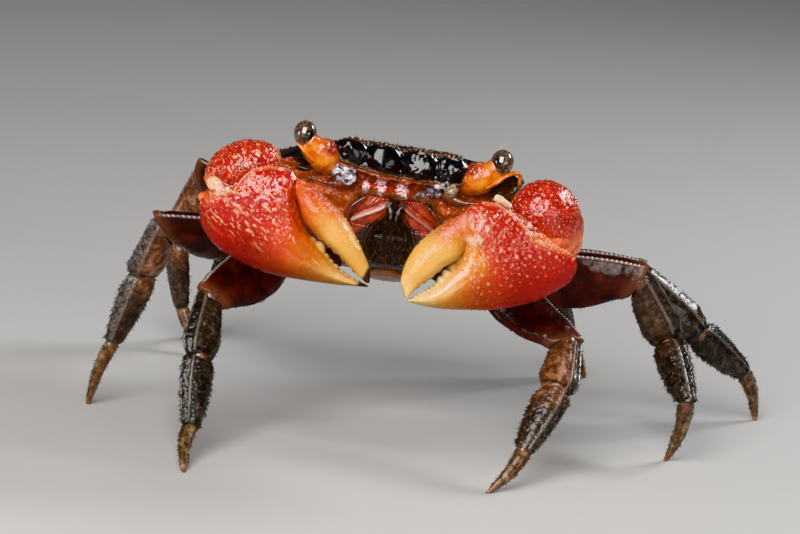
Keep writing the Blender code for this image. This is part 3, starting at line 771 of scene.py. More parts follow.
def hand_finish():
    made = Finish("Wet red claw shell", 0.3, 0.85, 0.06, 0.25, glow=0.12)
    made.shader.inputs["Coat IOR"].default_value = WET_CLAW_IOR
    reach = made.math("ADD", made.mask("reach"), made.share(made.mottle(2.4, 1.4), 0.08))
    base = made.ramp(reach, (
        (0.0, RED), (0.36, RED), (0.47, SCARLET), (0.58, ORANGE), (0.69, AMBER), (0.80, CREAM),
        (0.94, IVORY), (1.0, IVORY),
    ))
    patched = made.mix(made.share(made.mottle(0.7, 3.0), 0.4), base, BLOTCH_TINT, "MULTIPLY")
    netted = made.mix(made.share(made.net(0.8, 0.16), made.mask("net")), patched, SCARLET)
    deep = made.ramp(made.mottle(1.2, 2.2), ((0.0, DEEP_RED), (1.0, RED)))
    wrist_side = made.mix(made.mask("wristward"), netted, deep)
    skinned = made.masked("skin", 0.85, wrist_side, SALMON)
    rimmed = made.masked("rim", 0.5, skinned, PETAL)
    folded = made.masked("fold", 0.6, rimmed, FOLD_AMBER)
    beaded = made.masked("bead", 0.68, folded, GRANULE)
    pearly = made.share(made.mask("knob"), made.math("ADD", made.mottle(0.5, 3.0), 0.35))
    knobbed = made.mix(pearly, beaded, PEARL)
    toothed = made.masked("tooth", 0.8, knobbed, IVORY)
    cut = made.masked("cut", 0.55, toothed, CUT_BROWN)
    # Painted shade: the hand darkened on its underside and, on the crab's right, over the fixed finger
    shaded = made.mix(made.mask("shade"), cut, HAND_SHADE, "MULTIPLY")
    made.colour(made.mix(made.mask("horn"), shaded, HORN))
    made.spread("Roughness", made.mottle(0.35, 3.0), 0.16, 0.45)
    made.spread("Coat Weight", made.mask("under"), 0.85, 0.15)
    made.grain(0.28, 0.08, 0.42, 1.0, "calm")
    return made.material


def finger_finish():
    made = Finish("Wet cream finger shell", 0.3, 0.45, 0.10, 0.3, glow=0.15)
    reach = made.math("ADD", made.mask("reach"), made.share(made.mottle(1.6, 1.2), 0.08))
    base = made.ramp(reach, (
        (0.0, AMBER), (0.46, ORANGE), (0.55, AMBER), (0.68, CREAM), (0.92, CREAM), (1.0, IVORY),
    ))
    netted = made.mix(made.share(made.net(0.7, 0.2), made.mask("net")), base, (0.52, 0.10, 0.03))
    topped = made.masked("ridge", 0.95, netted, made.ramp(made.mottle(0.8, 2.6), (
        (0.0, (0.36, 0.030, 0.010)), (0.6, (0.60, 0.12, 0.05)), (1.0, (0.74, 0.30, 0.18)),
    )))
    beaded = made.masked("bead", 0.5, topped, PETAL)
    pale = made.share(made.mask("knob"), made.math("ADD", made.mottle(0.7, 3.0), 0.3))
    knobbed = made.mix(pale, beaded, (0.88, 0.52, 0.42))
    cut = made.masked("cut", 0.6, knobbed, CUT_BROWN)
    # Painted shade: the finger's underside, and toward the tip of the crab's right finger
    shaded = made.mix(made.mask("shade"), cut, FINGER_SHADE, "MULTIPLY")
    made.colour(made.mix(made.mask("horn"), shaded, HORN))
    made.spread("Roughness", made.mottle(0.5, 2.5), 0.22, 0.42)
    made.grain(0.3, 0.05, 0.5, 0.8, "calm")
    return made.material


def wrist_finish():
    made = Finish("Wet granular red shell", 0.3, 0.7, 0.07, 0.25)
    made.shader.inputs["Coat IOR"].default_value = WET_CLAW_IOR
    base = made.ramp(made.mottle(1.3, 2.4), (
        (0.0, DEEP_RED), (0.5, (0.40, 0.012, 0.004)), (1.0, (0.52, 0.030, 0.010)),
    ))
    skin = made.mix(made.mask("skin"), base, SALMON)
    made.colour(made.masked("bead", 0.7, skin, WRIST_GRANULE))
    made.spread("Roughness", made.mottle(0.35, 3.0), 0.16, 0.42)
    made.grain(0.28, 0.07, 0.42, 1.0)
    return made.material


def arm_finish():
    made = Finish("Wet maroon arm shell", 0.3, 0.5, 0.12)
    base = made.ramp(made.mottle(2.5, 2.2), ((0.0, MAROON), (0.5, (0.14, 0.012, 0.006)), (1.0, RUST)))
    made.colour(made.masked("bead", 0.4, base, TAN))
    made.grain(0.3, 0.03, 0.6, 0.5)
    return made.material


def carapace_finish():
    made = Finish("Wet dark carapace", 0.25, 0.35, 0.06, 0.35)
    back = made.ramp(made.mottle(2.4, 2.6), (
        (0.0, BLACK), (0.55, SOOT), (0.85, UMBER), (1.0, (0.16, 0.08, 0.04)),
    ))
    flank = made.ramp(made.mottle(1.6, 2.6), ((0.0, SOOT), (0.55, UMBER), (1.0, RUST)))
    cheek = made.mix(made.share(made.net(0.45, 0.3), 0.6), made.ramp(made.mottle(1.1, 2.6), (
        (0.0, (0.20, 0.022, 0.008)), (1.0, (0.52, 0.080, 0.020)),
    )), (0.68, 0.17, 0.055))
    face = made.ramp(made.mottle(0.6, 3.0), (
        (0.0, (0.06, 0.012, 0.007)), (0.5, (0.26, 0.036, 0.016)), (1.0, (0.50, 0.13, 0.07)),
    ))
    coloured = made.mix(made.mask("side"), back, flank)
    coloured = made.mix(made.mask("cheek"), coloured, cheek)
    coloured = made.mix(made.mask("face"), coloured, face)
    coloured = made.masked("crest", 0.9, coloured, (0.045, 0.022, 0.013))
    coloured = made.masked("bead", 0.22, coloured, TAN)
    coloured = made.mix(made.mask("front"), coloured, BLACK)
    coloured = made.masked("rim", 0.6, coloured, TAN)
    coloured = made.masked("speck", 0.9, coloured, PEARL)
    # Painted reflection over the folds beside the feelers
    coloured = made.masked("painted_reflection", 0.95, coloured, made.ramp(made.mottle(1.5, 1.8), PAINTED_REFLECTION_STOPS))
    # Painted highlights: the wet lumps run from red to pink-white at their tops and in mottled spots
    painted_lump_glint = made.math("ADD", made.share(made.mask("painted_highlight"), 0.38), made.share(made.mottle(0.4, 3.0), 0.6))
    wet = made.ramp(painted_lump_glint, (
        (0.0, (0.30, 0.014, 0.009)), (0.5, (0.40, 0.030, 0.022)), (0.60, (0.66, 0.26, 0.25)),
        (0.70, (0.90, 0.76, 0.78)),
    ))
    coloured = made.mix(made.mask("wet"), coloured, wet)
    # Painted shade: near black in the mouth's hollow and the eye sockets
    made.colour(made.mix(made.mask("dark"), coloured, (0.012, 0.006, 0.003)))
    made.spread("Roughness", made.mottle(0.6, 2.5), 0.14, 0.36)
    made.spread("Coat Weight", made.mask("front"), 0.35, 0.75)
    made.grain(0.30, 0.06, 0.6, 0.5, "calm")
    return made.material


def leg_finish(name, dark, middle, light, bead_colour, grain=0.3, depth=0.035, blotch=1.0, coat=0.4):
    made = Finish(name, 0.32, coat, 0.10, 0.35)
    base = made.ramp(made.mottle(blotch, 2.6), ((0.0, dark), (0.5, middle), (1.0, light)))
    warmed = made.masked("warm", 1.0, base, made.ramp(made.mottle(0.9, 3.0), (
        (0.0, (0.05, 0.014, 0.007)), (0.5, (0.20, 0.065, 0.030)), (1.0, (0.46, 0.22, 0.11)),
    )))
    striped = made.masked("stripe", 0.6, warmed, (0.62, 0.34, 0.20))
    shaded = made.mix(made.mask("shade"), striped, BLACK)
    # Painted light: mottled grey on the crests of the carpus and propodus
    crest_lit = made.masked("painted_crest_light", 1.0, shaded, made.ramp(made.mottle(0.45, 3.0), (
        (0.0, (0.035, 0.030, 0.030)), (1.0, (0.36, 0.33, 0.32)),
    )))
    ridged = made.masked("ridge", 0.28, crest_lit, bead_colour)
    beaded = made.masked("bead", 0.14, ridged, bead_colour)
    topped = made.masked("tops", 0.95, beaded, bead_colour)
    made.colour(made.masked("end", 0.8, topped, (0.30, 0.13, 0.08)))
    made.spread("Roughness", made.mottle(0.5, 2.5), 0.20, 0.46)
    made.grain(grain, depth, 0.45, 0.7)
    return made.material


def eye_finish():
    made = Finish("Wet eye", 0.06, 1.0, 0.02, 0.8)
    cells = made.ramp(made.mottle(0.35, 3.0), (
        (0.0, (0.035, 0.020, 0.012)), (0.6, (0.11, 0.07, 0.045)), (1.0, (0.24, 0.18, 0.13)),
    ))
    made.colour(made.mix(made.mask("band"), cells, BLACK))
    return made.material


def stalk_finish():
    made = Finish("Wet orange stalk skin", 0.22, 0.8, 0.06, glow=0.2)
    base = made.ramp(made.mottle(1.3, 2.4), (
        (0.0, (0.52, 0.075, 0.006)), (0.5, (0.68, 0.16, 0.012)), (1.0, (0.80, 0.30, 0.03)),
    ))
    edged = made.masked("rim", 0.6, base, PEARL)
    # Dark red patch on the upper inner side, with painted pink highlights mottled in
    patch_with_painted_glints = made.mix(made.mask("patch"), edged, made.ramp(made.mottle(0.5, 3.0), (
        (0.0, (0.16, 0.010, 0.005)), (0.6, (0.36, 0.035, 0.010)), (1.0, (0.85, 0.52, 0.45)),
    )))
    # Painted shade at the base and on the underside of the stalk
    made.colour(made.masked("dark", 0.75, patch_with_painted_glints, (0.20, 0.035, 0.010)))
    made.grain(0.45, 0.06, 0.5, 0.4)
    return made.material


def plain_finish(name, dark, light, size=1.2, roughness=0.3, coat=0.5, depth=0.03):
    made = Finish(name, roughness, coat, 0.1)
    made.colour(made.ramp(made.mottle(size, 2.4), ((0.0, dark), (1.0, light))))
    made.grain(0.3, depth, 0.5, 0.4)
    return made.material


def painted_reflection_finish():
    """Wet skin whose colour carries sharp-edged patches of painted reflection."""
    made = Finish("Wet silver skin", 0.12, 1.0, 0.04, 0.6)
    made.colour(made.ramp(made.mottle(0.8, 2.4), PAINTED_REFLECTION_STOPS))
    made.grain(0.5, 0.12, 0.6, 0.6)
    return made.material


def mouth_finish():
    made = Finish("Wet red mouth plate", 0.2, 0.8, 0.06)
    base = made.ramp(made.mottle(0.9, 2.6), ((0.0, (0.20, 0.014, 0.006)), (1.0, (0.52, 0.065, 0.022))))
    # Painted shade over the lower part, and a painted highlight along the crest
    shaded = made.mix(made.mask("low"), base, (0.030, 0.010, 0.005))
    made.colour(made.masked("ridge", 0.8, shaded, (0.86, 0.56, 0.48)))
    made.grain(0.25, 0.04, 0.5, 0.3)
    return made.material


# Body


def body_columns(count):
    """Evenly numbered places round the margin, from the front middle to the crab's left."""
    turn = np.arange(count) / count
    left = turn < 0.5
    half = np.where(left, 2 * turn, 2 - 2 * turn)
    margin = through(MARGIN, half)
    margin[..., 0] = np.where(half % 1 == 0, 0.0, margin[..., 0]) * np.where(left, 1, -1)
    return margin


def margin_height(margin):
    x, y = margin[..., 0], margin[..., 1]
    (edge, fade), (start, run_up) = FRONT_SHOULDER, FRONT_RISE
    front = smooth((edge - np.abs(x)) / fade) * smooth((-y - start) / run_up)
    rear = smooth((y - REAR_FALL[0]) / REAR_FALL[1])
    return SIDE_HEIGHT + (FRONT_HEIGHT - SIDE_HEIGHT) * front - (SIDE_HEIGHT - REAR_HEIGHT) * rear


def lobe(x):
    low = np.where(np.abs(x) < LOBE_EDGES[0], 0.0, LOBE_EDGES[0])
    high = np.where(np.abs(x) < LOBE_EDGES[0], LOBE_EDGES[0], LOBE_EDGES[1])
    place = np.minimum(1.0, (np.abs(x) - low) / (high - low))
    return np.maximum(0.0, np.sin(pi * place)) ** LOBE_POWER


def dome_grid(margin, rows):
    scale = np.sin(np.linspace(0.04, 1, rows) * pi / 2)[:, None] ** 1.15
    edge = margin_height(margin)[None, :]
    height = edge + (DOME_TOP - edge) * (1 - scale ** DOME_POWER)
    front = smooth((-margin[None, :, 1] - 10.5) / 1.5) * smooth((scale - 0.7) / 0.2)
    height = height + LOBE_HEIGHT * lobe(margin[None, :, 0]) * front
    flat = margin[None] * scale[..., None]
    return np.concatenate((flat, height[..., None]), axis=-1)


def flank_grid(margin, table, rows):
    """Rings from the first to the last row of a table of sizes."""
    t = np.linspace(0, 1, rows)
    height, width, front, rear, rounding = (profile(column, t)[:, None] for column in zip(*table))
    edge = margin_height(margin)[None, :]
    slope = np.minimum(1.0, (edge - FLANK_FOOT) / (SIDE_HEIGHT - FLANK_FOOT))
    level = np.where(height > FLANK_FOOT, FLANK_FOOT + (height - FLANK_FOOT) * slope, height)
    x, y = margin[None, :, 0], margin[None, :, 1]
    reach = np.where(y < 0, front, rear)
    full = np.where(y < 0, FRONT_REACH, REAR_REACH)
    plain = np.stack((x * width / HALF_WIDTH, y * reach / full), -1)
    angle = np.arctan2(y, x)
    size = np.abs(np.cos(angle) / width) ** CORNER_POWER + np.abs(np.sin(angle) / reach) ** CORNER_POWER
    soft = np.stack((np.cos(angle), np.sin(angle)), -1) * (size ** (-1 / CORNER_POWER))[..., None]
    rounding = np.clip(rounding, 0, 1)[..., None]
    flat = plain * (1 - rounding) + soft * rounding
    return np.concatenate((flat, level[..., None]), axis=-1)


# Ridges and hollows of the face, as (distance from the midline, height)
SUBORBITAL_RIDGE = ((14.6, 1.4), (12.6, 0.3), (10.4, -0.2), (8.2, 0.4))
CHEEK_RIDGES = (
    ((14.4, -0.6), (11.6, -1.6), (8.4, -1.9), (5.9, -2.3)), ((13.6, -2.8), (10.8, -3.6), (6.4, -4.0)),
    ((12.6, -4.6), (9.6, -5.4), (6.2, -5.8)),
)
MOUTH_FRAME = ((0.0, -1.0), (2.6, -0.8), (4.8, -1.3), (5.9, -3.2), (6.1, -5.6), (5.2, -8.6))
MOUTH_CREST = np.array(((0.05, 0.06), (0.40, 0.26), (0.82, 0.46)))
FRONT_LOBES = ((-6.35, 2.0), (-2.3, 2.45), (2.3, 2.45), (6.4, 2.05))
# How far the front hangs below its place in the solids, in the middle, and more toward the crab's left
FRONT_SINK = 0.45
FRONT_SINK_SLOPE = 0.07
# How far the crab's right front corner hangs below its place in the solids
CORNER_SINK = 1.9
# Swelling of the pillows of the front, how round they are, and the height of their crest
LOBE_SWELL = 0.8
LOBE_FLATNESS = 0.5
# How wrinkled the front is at each place across it
LOBE_WRINKLES = ((-8.0, -4.8, -4.3, -0.2, 0.2, 4.3, 4.8, 8.0), (1.4, 1.4, 0.3, 0.3, 1.6, 1.6, 2.2, 2.2))
LOBE_CREST = 5.6
# Places on the face, seen from the front, and the half width and half height of each lump; each lump's top
# carries a painted highlight
WET_LUMPS = (
    ((-3.9, -0.7), (0.9, 1.6)), ((-2.1, -0.4), (1.5, 2.0)), ((0.7, -0.6), (1.7, 2.1)),
)
# Lines of the folds beside the feelers; their colour carries painted reflection
PAINTED_REFLECTION_FOLDS = (
    ((2.5, -0.9), (4.4, 0.6), (6.2, 1.9)), ((2.9, -1.8), (4.2, -0.7), (5.5, 0.3)),
)


def front_rim(x):
    """Height of the lower rim of the front."""
    return 1.6 - 0.03 * x + 0.0125 * x ** 2 + 0.5 * smooth((np.abs(x) - 7.5) / 1.2)


def face_relief(points):
    """Height of the face's ridges and hollows, and the masks that colour them."""
    x, y, z = (points[..., k] for k in range(3))
    far = np.abs(x)
    seen = smooth((-y - 7.0) / 2.5)
    place, half_place = np.stack((x, z), -1), np.stack((far, z), -1)
    rim = front_rim(x)
    inside = smooth((9.4 - far) / 0.8)
    middle_height, reach = (rim + LOBE_CREST) / 2, (LOBE_CREST - rim) / 2 - 0.05
    height = np.zeros_like(x)
    for middle, half in FRONT_LOBES:
        squared = ((x - middle) / half) ** 2 + ((z - middle_height) / reach) ** 2
        height += LOBE_SWELL * np.clip(1 - squared, 0, 1) ** LOBE_FLATNESS
    shown = smooth((z - rim) / 0.25) * smooth((5.35 - z) / 0.25) * inside * seen
    wrinkled = np.interp(x, *LOBE_WRINKLES)
    height += (0.11 * noise(points, 1.2, 17) + 0.07 * noise(points, 0.5, 18)) * shown * wrinkled
    first, second = bump((z - rim) / 0.28) * inside, bump((z - rim + 0.6) / 0.22) * inside
    height += 0.30 * first + 0.20 * second
    height -= 0.7 * bump((z - rim + 1.25) / 0.7) * smooth((8.8 - far) / 1.2)
    below = smooth((rim - 0.1 - z) / 0.3)
    wet, painted_highlight = np.zeros_like(x), np.zeros_like(x)
    for spot, radii in WET_LUMPS:
        lump = near_spot(place, spot, radii)
        height += 1.0 * np.sqrt(lump)
        wet = np.maximum(wet, smooth(lump * 2))
        # Painted highlight: a pale spot toward each lump's upper left
        top = near_spot(place, np.array(spot) + (-0.1, 0.2), np.array(radii) * (0.8, 1.0))
        painted_highlight = np.maximum(painted_highlight, smooth(top * 2))
    # Folds whose colour carries painted reflection
    painted_reflection = np.zeros_like(x)
    for fold in PAINTED_REFLECTION_FOLDS:
        line = near_line(place, fold, 0.6)
        height += 0.55 * np.sqrt(line)
        painted_reflection = np.maximum(painted_reflection, smooth(line * 2))
    socket = near_spot(half_place, (11.2, 2.9), (3.3, 2.4))
    height -= 1.3 * socket ** 0.7
    height += 0.35 * near_line(half_place, SUBORBITAL_RIDGE, 0.8)
    for ridge in CHEEK_RIDGES:
        height += 0.3 * near_line(half_place, ridge, 0.7)
    frame_line = near_line(half_place, MOUTH_FRAME, 0.6)
    height += 0.45 * frame_line
    mouth = smooth((5.6 - far) / 0.8) * smooth((-1.2 - z) / 0.5)
    height -= 1.1 * mouth
    height += 0.22 * rough(points, 0.9, 19) * below * (1 - mouth) * (1 - 0.8 * wet)
    # Painted shade in the mouth's hollow and the eye socket
    hollow = np.maximum(mouth * (1 - frame_line), 0.9 * smooth(socket * 2.5 - 0.3))
    masks = {
        "front": shown,
        "crest": smooth((z - 5.15) / 0.3) * inside * seen,
        "rim": (first + 0.8 * second) * seen * (0.55 + 0.45 * noise(points, 0.7, 5)),
        "face": below * smooth((z + 1.6) / 0.8) * smooth((10.0 - far) / 2.0) * seen,
        "wet": wet * seen, "painted_highlight": painted_highlight * seen, "painted_reflection": painted_reflection * seen,
        "cheek": smooth((-y - 8.3) / 1.5) * smooth((1.0 - z) / 0.8) * smooth((far - 4.8) / 0.8),
        "dark": np.clip(hollow * seen, 0, 1),
    }
    masks["calm"] = np.clip(0.9 * shown + 0.3 * wet + 0.8 * painted_reflection, 0, 1)
    return height * seen, masks


BACK_GROOVES = (
    ((0.0, -12.6), (0.0, -7.5)), ((4.6, -12.6), (4.3, -9.6)), ((3.0, -6.0), (4.2, -2.0), (3.2, 1.0)),
    ((4.2, -2.0), (8.0, -4.5), (11.5, -6.5)), ((3.2, 1.0), (4.6, 5.0), (3.8, 9.0)),
    ((3.2, 1.0), (0.0, 1.8)), ((8.0, -4.5), (9.0, -9.0)),
)


def back_relief(points):
    x, y = np.abs(points[..., 0]), points[..., 1]
    place = np.stack((x, y), -1)
    height = np.zeros_like(x)
    for groove in BACK_GROOVES:
        height -= 0.28 * near_line(place, groove, 1.3)
    for k in range(7):
        start = -6.0 + 2.1 * k
        line = ((15.4 - 0.14 * k, start), (12.6, start + 1.1), (10.2, start + 2.6))
        height += 0.13 * near_line(place, line, 0.45)
    return height


def carapace():
    margin = body_columns(BODY_COLUMNS)
    dome = dome_grid(margin, DOME_ROWS)
    full = np.array(((SIDE_HEIGHT, HALF_WIDTH, FRONT_REACH, REAR_REACH, 0.0),) + FLANK)
    lower = flank_grid(margin, full, FLANK_ROWS)
    lower[0] = dome[-1]
    edge, row = dome[-1], np.arange(FLANK_ROWS)[:, None]
    blend = smooth(1 - row / EDGE_ROWS)
    lower[..., 2] = lower[..., 2] * (1 - blend) + (edge[:, 2] - row * EDGE_STEP) * blend
    grid = np.concatenate((dome, lower[1:]))
    upper = np.zeros(grid.shape[:2])
    upper[:DOME_ROWS] = 1.0
    height, masks = face_relief(grid)
    ahead, level, far = -grid[..., 1], grid[..., 2], np.abs(grid[..., 0])
    sink = smooth((ahead - 8.0) / 3.0) * smooth((level - 1.0) / 1.5) * smooth((10.5 - far) / 2)
    grid[..., 2] -= FRONT_SINK * sink * (1 + FRONT_SINK_SLOPE * grid[..., 0])
    corner = smooth((-grid[..., 0] - 9.0) / 3.0) * smooth((-grid[..., 1] - 3.0) / 5.0)
    grid[..., 2] -= CORNER_SINK * corner * smooth((grid[..., 2] + 1.0) / 3.5)
    height = height + back_relief(grid) * upper
    calm = 1 - 0.9 * masks["front"]
    lip = bump((np.arange(len(grid)) - DOME_ROWS + 1) / 7)[:, None]
    height += 0.22 * lip * smooth((far - 9.5) / 2)
    world = on_body(grid)
    height = height + (0.07 * rough(world, 0.9, 3) + 0.05 * rough(world, 0.4, 8, 2)) * calm
    world = raised(world, height)
    flat = world.reshape(-1, 3)
    weight = 0.5 * smooth((-grid[..., 1] - 6) / 3) * upper + 0.12 * upper + 0.35 * (1 - upper)
    weight = weight * (1 - masks["front"]) * (1 - masks["dark"])
    chosen = scatter(flat, weight.ravel(), 0.5, 16000)
    bead = beads(world, flat[chosen], RNG.uniform(0.12, 0.22, len(chosen)))
    specks = scatter(flat, (masks["crest"] * upper).ravel(), 0.55, 5000)
    speck = beads(world, flat[specks], RNG.uniform(0.08, 0.17, len(specks)))
    world = raised(world, 0.11 * np.maximum(bead * calm, speck))
    masks["side"] = (1 - upper) * smooth((grid[..., 2] + 8) / 3)
    brow = corner * smooth((-grid[..., 1] - 8.5) / 1.5) * (1 - upper * smooth((grid[..., 2] - 1.5) / 1.0))
    masks["cheek"] = np.maximum(masks["cheek"], 0.9 * brow)
    masks["bead"] = bead * (1 - masks["front"])
    masks["speck"] = speck * masks["crest"]
    piece = plate("carapace_shell", world, masks)
    finished(piece, carapace_finish(), "carapace", "carapace")
    back_hairs(world, upper * (grid[..., 1] < 12))
    face_lumps()


def body_lump(name, spot, radii, material, slot, roughness=0.12):
    """Rounded wet lump on the face, sized across, forward and up."""
    axes = BODY @ np.diag(radii)
    grid = egg(on_body(spot), (axes[:, 2], axes[:, 0], axes[:, 1]), 60, 72)
    grid = raised(grid, roughness * rough(grid, 0.8, 111))
    finished(plate(name, grid), material, slot)


def face_lumps():
    """Bases of the short feelers, in the hollows under the front."""
    body_lump("feeler_base_left", (6.7, -12.9, 0.5), (1.0, 0.9, 1.0), STUB, "antenna", 0.2)
    # This lump's colour carries painted reflection
    body_lump("feeler_base_right", (-7.0, -12.4, 0.8), (1.6, 0.8, 1.7), PAINTED_REFLECTION_LUMP, "antenna", 0.22)


def back_hairs(world, where):
    """Short bristles in sparse tufts on the back and round its edges."""
    normals = outward(world)[0].reshape(-1, 3)
    points = world.reshape(-1, 3)
    roots = scatter(points, 0.3 * where.ravel(), 1.5, 3000)
    tufts, ways, lengths = [], [], []
    forward = BODY @ np.array((0, -0.9, 0.1))
    for root in roots:
        for _ in range(4):
            tufts.append(points[root] + RNG.normal(size=3) * 0.09)
            ways.append(normals[root] + 0.8 * forward + RNG.normal(size=3) * 0.25)
            lengths.append(RNG.uniform(0.25, 0.5))
    finished(spikes("back_bristles", tufts, ways, lengths, 0.028), BRISTLE, "carapace")


def sternum():
    rows, columns = STERNUM_GRID
    grid = flank_grid(body_columns(columns), STERNUM, rows)
    place = np.stack((np.abs(grid[..., 0]), grid[..., 1]), -1)
    height = np.zeros(grid.shape[:2])
    for k in range(5):
        start = -6.4 + 3.4 * k
        height -= 0.35 * near_line(place, ((2.2, start + 1.0), (10.5, start - 0.6)), 0.55)
    world = on_body(grid)
    world = raised(world, height + 0.06 * rough(world, 0.9, 12))
    chosen = scatter(world.reshape(-1, 3), np.full(world.size // 3, 0.4), 0.8, 3000)
    bead = beads(world, world.reshape(-1, 3)[chosen], np.full(len(chosen), 0.16))
    # Painted shade over the front of the breast plate, under the body
    dark = smooth((-grid[..., 1] - 4.0) / 2.0)
    rounded = with_cap(raised(world, 0.06 * bead), 0.4, True, 5)
    piece = plate("sternum_plate", rounded, {"dark": stretched(dark, 5, 0)})
    made = Finish("Wet brown breast plate", 0.35, 0.4, 0.12)
    base = made.ramp(made.mottle(1.8, 2.4), ((0.0, (0.10, 0.025, 0.010)), (1.0, (0.34, 0.11, 0.04))))
    # Painted shade toward the front
    made.colour(made.mix(made.mask("dark"), base, (0.014, 0.006, 0.003)))
    made.grain(0.3, 0.03, 0.5, 0.4)
    finished(piece, made.material, "sternum", "sternum")


def abdomen():
    rows, columns = ABDOMEN_GRID
    t = np.linspace(0, 1, rows)
    path = through(FLAP_PATH, t)
    ahead = unit(through(FLAP_PATH, np.minimum(1, t + 0.02)) - through(FLAP_PATH, np.maximum(0, t - 0.02)))
    out = np.stack((np.zeros(rows), -ahead[:, 1], ahead[:, 0]), -1)
    place = t * FLAP_SEGMENTS
    nearest = np.round(place)
    seam = bump((place - nearest) / 0.09) * (nearest > 0) * (nearest < FLAP_SEGMENTS)
    swell = 1 - 0.28 * seam + 0.12 * np.sin(pi * (place % 1))
    width = profile(FLAP_HALF_WIDTH, t) * (1 - 0.05 * seam)
    a = np.arange(columns) / columns * 2 * pi
    across, lift = np.cos(a), np.sign(np.sin(a)) * np.abs(np.sin(a)) ** 0.75
    points = np.zeros((rows, columns, 3))
    points[..., 0] = width[:, None] * across
    points[..., 1] = path[:, :1]
    points[..., 2] = path[:, 1:]
    offset = FLAP_HALF_THICKNESS * lift[None] * swell[:, None] - FLAP_SINK
    world = on_body(points + out[:, None] * offset[..., None])
    world = raised(world, 0.03 * rough(world, 0.8, 21))
    chosen = scatter(world.reshape(-1, 3), np.full(rows * columns, 0.5), 0.7, 3000)
    bead = beads(world, world.reshape(-1, 3)[chosen], np.full(len(chosen), 0.15))
    world = with_cap(with_cap(raised(world, 0.05 * bead), 0.3, True, 4), 0.3, False, 4)
    finish = plain_finish("Wet brown tail flap", (0.14, 0.04, 0.016), (0.42, 0.15, 0.05), 1.5)
    finished(plate("abdomen_flap", world), finish, "abdomen", "abdomen")


# Mouth, eyes and feelers


def rings_along(path, radii, rows, columns, flatten=1.0):
    """Rings of a tube whose path and radii are smooth curves."""
    t = np.linspace(0, 1, rows)
    centre = through(path, t)
    along = unit(through(path, np.minimum(1, t + 0.02)) - through(path, np.maximum(0, t - 0.02)))
    across = unit(np.cross(along, (0, 0, 1)))
    up = np.cross(across, along)
    a = np.arange(columns) / columns * 2 * pi
    radius = profile(radii, t)[:, None, None]
    spread = across[:, None] * np.cos(a)[None, :, None] + up[:, None] * np.sin(a)[None, :, None] * flatten
    return centre[:, None] + radius * spread


def mouth_plate(side_name):
    side = SIDES[side_name]
    rows, columns = MOUTH_GRID
    t = np.linspace(0, 1, rows)
    inner, outer = through(MOUTH_INNER, t), through(MOUTH_OUTER, t)
    a = np.arange(columns) / columns * 2 * pi
    share = (1 - np.cos(a)) / 2
    flat = inner[:, None] + (outer - inner)[:, None] * share[None, :, None]
    depth = 1 - np.sign(np.sin(a)) * np.abs(np.sin(a)) ** 0.6
    front = profile(MOUTH_FRONT, t)[:, None] + 0.3 + MOUTH_DEPTH * 0.8 * depth[None]
    points = np.stack((side * flat[..., 0], front, flat[..., 1]), -1)
    shown = smooth(np.sin(a) * 2)[None] * np.ones((rows, 1))
    place = np.stack((share[None] * np.ones((rows, 1)), t[:, None] * np.ones(columns)), -1)
    crest = near_line(place, MOUTH_CREST, 0.09) * shown
    seam = bump((t - 0.5) / 0.035)[:, None] * shown
    groove = near_line(place, MOUTH_CREST + np.array((0.16, 0.0)), 0.09)
    height = 0.4 * crest - 0.35 * seam - 0.45 * groove * shown
    stripes = 0.05 * np.sin(place[..., 0] * 50 - place[..., 1] * 22) * shown
    world = on_body(points)
    world = raised(world, height + stripes + 0.05 * rough(world, 0.8, 31))
    masks = {
        # Painted highlight along the crest, strongest on the crab's right plate, and painted shade over the
        # lower part
        "ridge": crest * (1.0 if side < 0 else 0.3),
        "low": smooth((place[..., 1] - 0.28 - 0.42 * place[..., 0]) / 0.16),
    }
    masks = {mask: stretched(value, CAP_ROWS, CAP_ROWS) for mask, value in masks.items()}
    piece = plate(f"mouth_plate_{side_name}", capped(world, 0.4, 0.4), masks)
    finished(piece, MOUTH, "mouthpart", f"mouthpart_{side_name}")
    palp(side_name)
    side_branch(side_name)
    frame_hairs(side_name)
    mouth_tuft(side_name)


# Hairs along the frame of the mouth, bristles between its plates and how many of these are dark
FRAME_HAIRS = 420
TUFT_BRISTLES = 620
TUFT_DARK = 530
PALP_BRISTLES = 50
EYE_BRISTLES = 9


def frame_hairs(side_name):
    """Short brown hairs along the frame of the mouth."""
    side, count = SIDES[side_name], FRAME_HAIRS
    t = np.sort(RNG.random(count))
    flat = through(MOUTH_FRAME, t)
    front = np.interp(flat[:, 1], (-8.6, -3.0, -0.8), (-10.3, -12.0, -12.7))
    roots = np.stack((side * flat[:, 0], front, flat[:, 1]), -1) + RNG.normal(size=(count, 3)) * 0.18
    ways = np.array((0.0, -0.6, -0.7)) + RNG.normal(size=(count, 3)) * 0.4
    lengths = RNG.uniform(0.5, 1.0, count)
    hairs = spikes(f"mouth_frame_hairs_{side_name}", on_body(roots), ways @ BODY.T, lengths, 0.032)
    finished(hairs, BROWN_HAIR, "mouthpart")


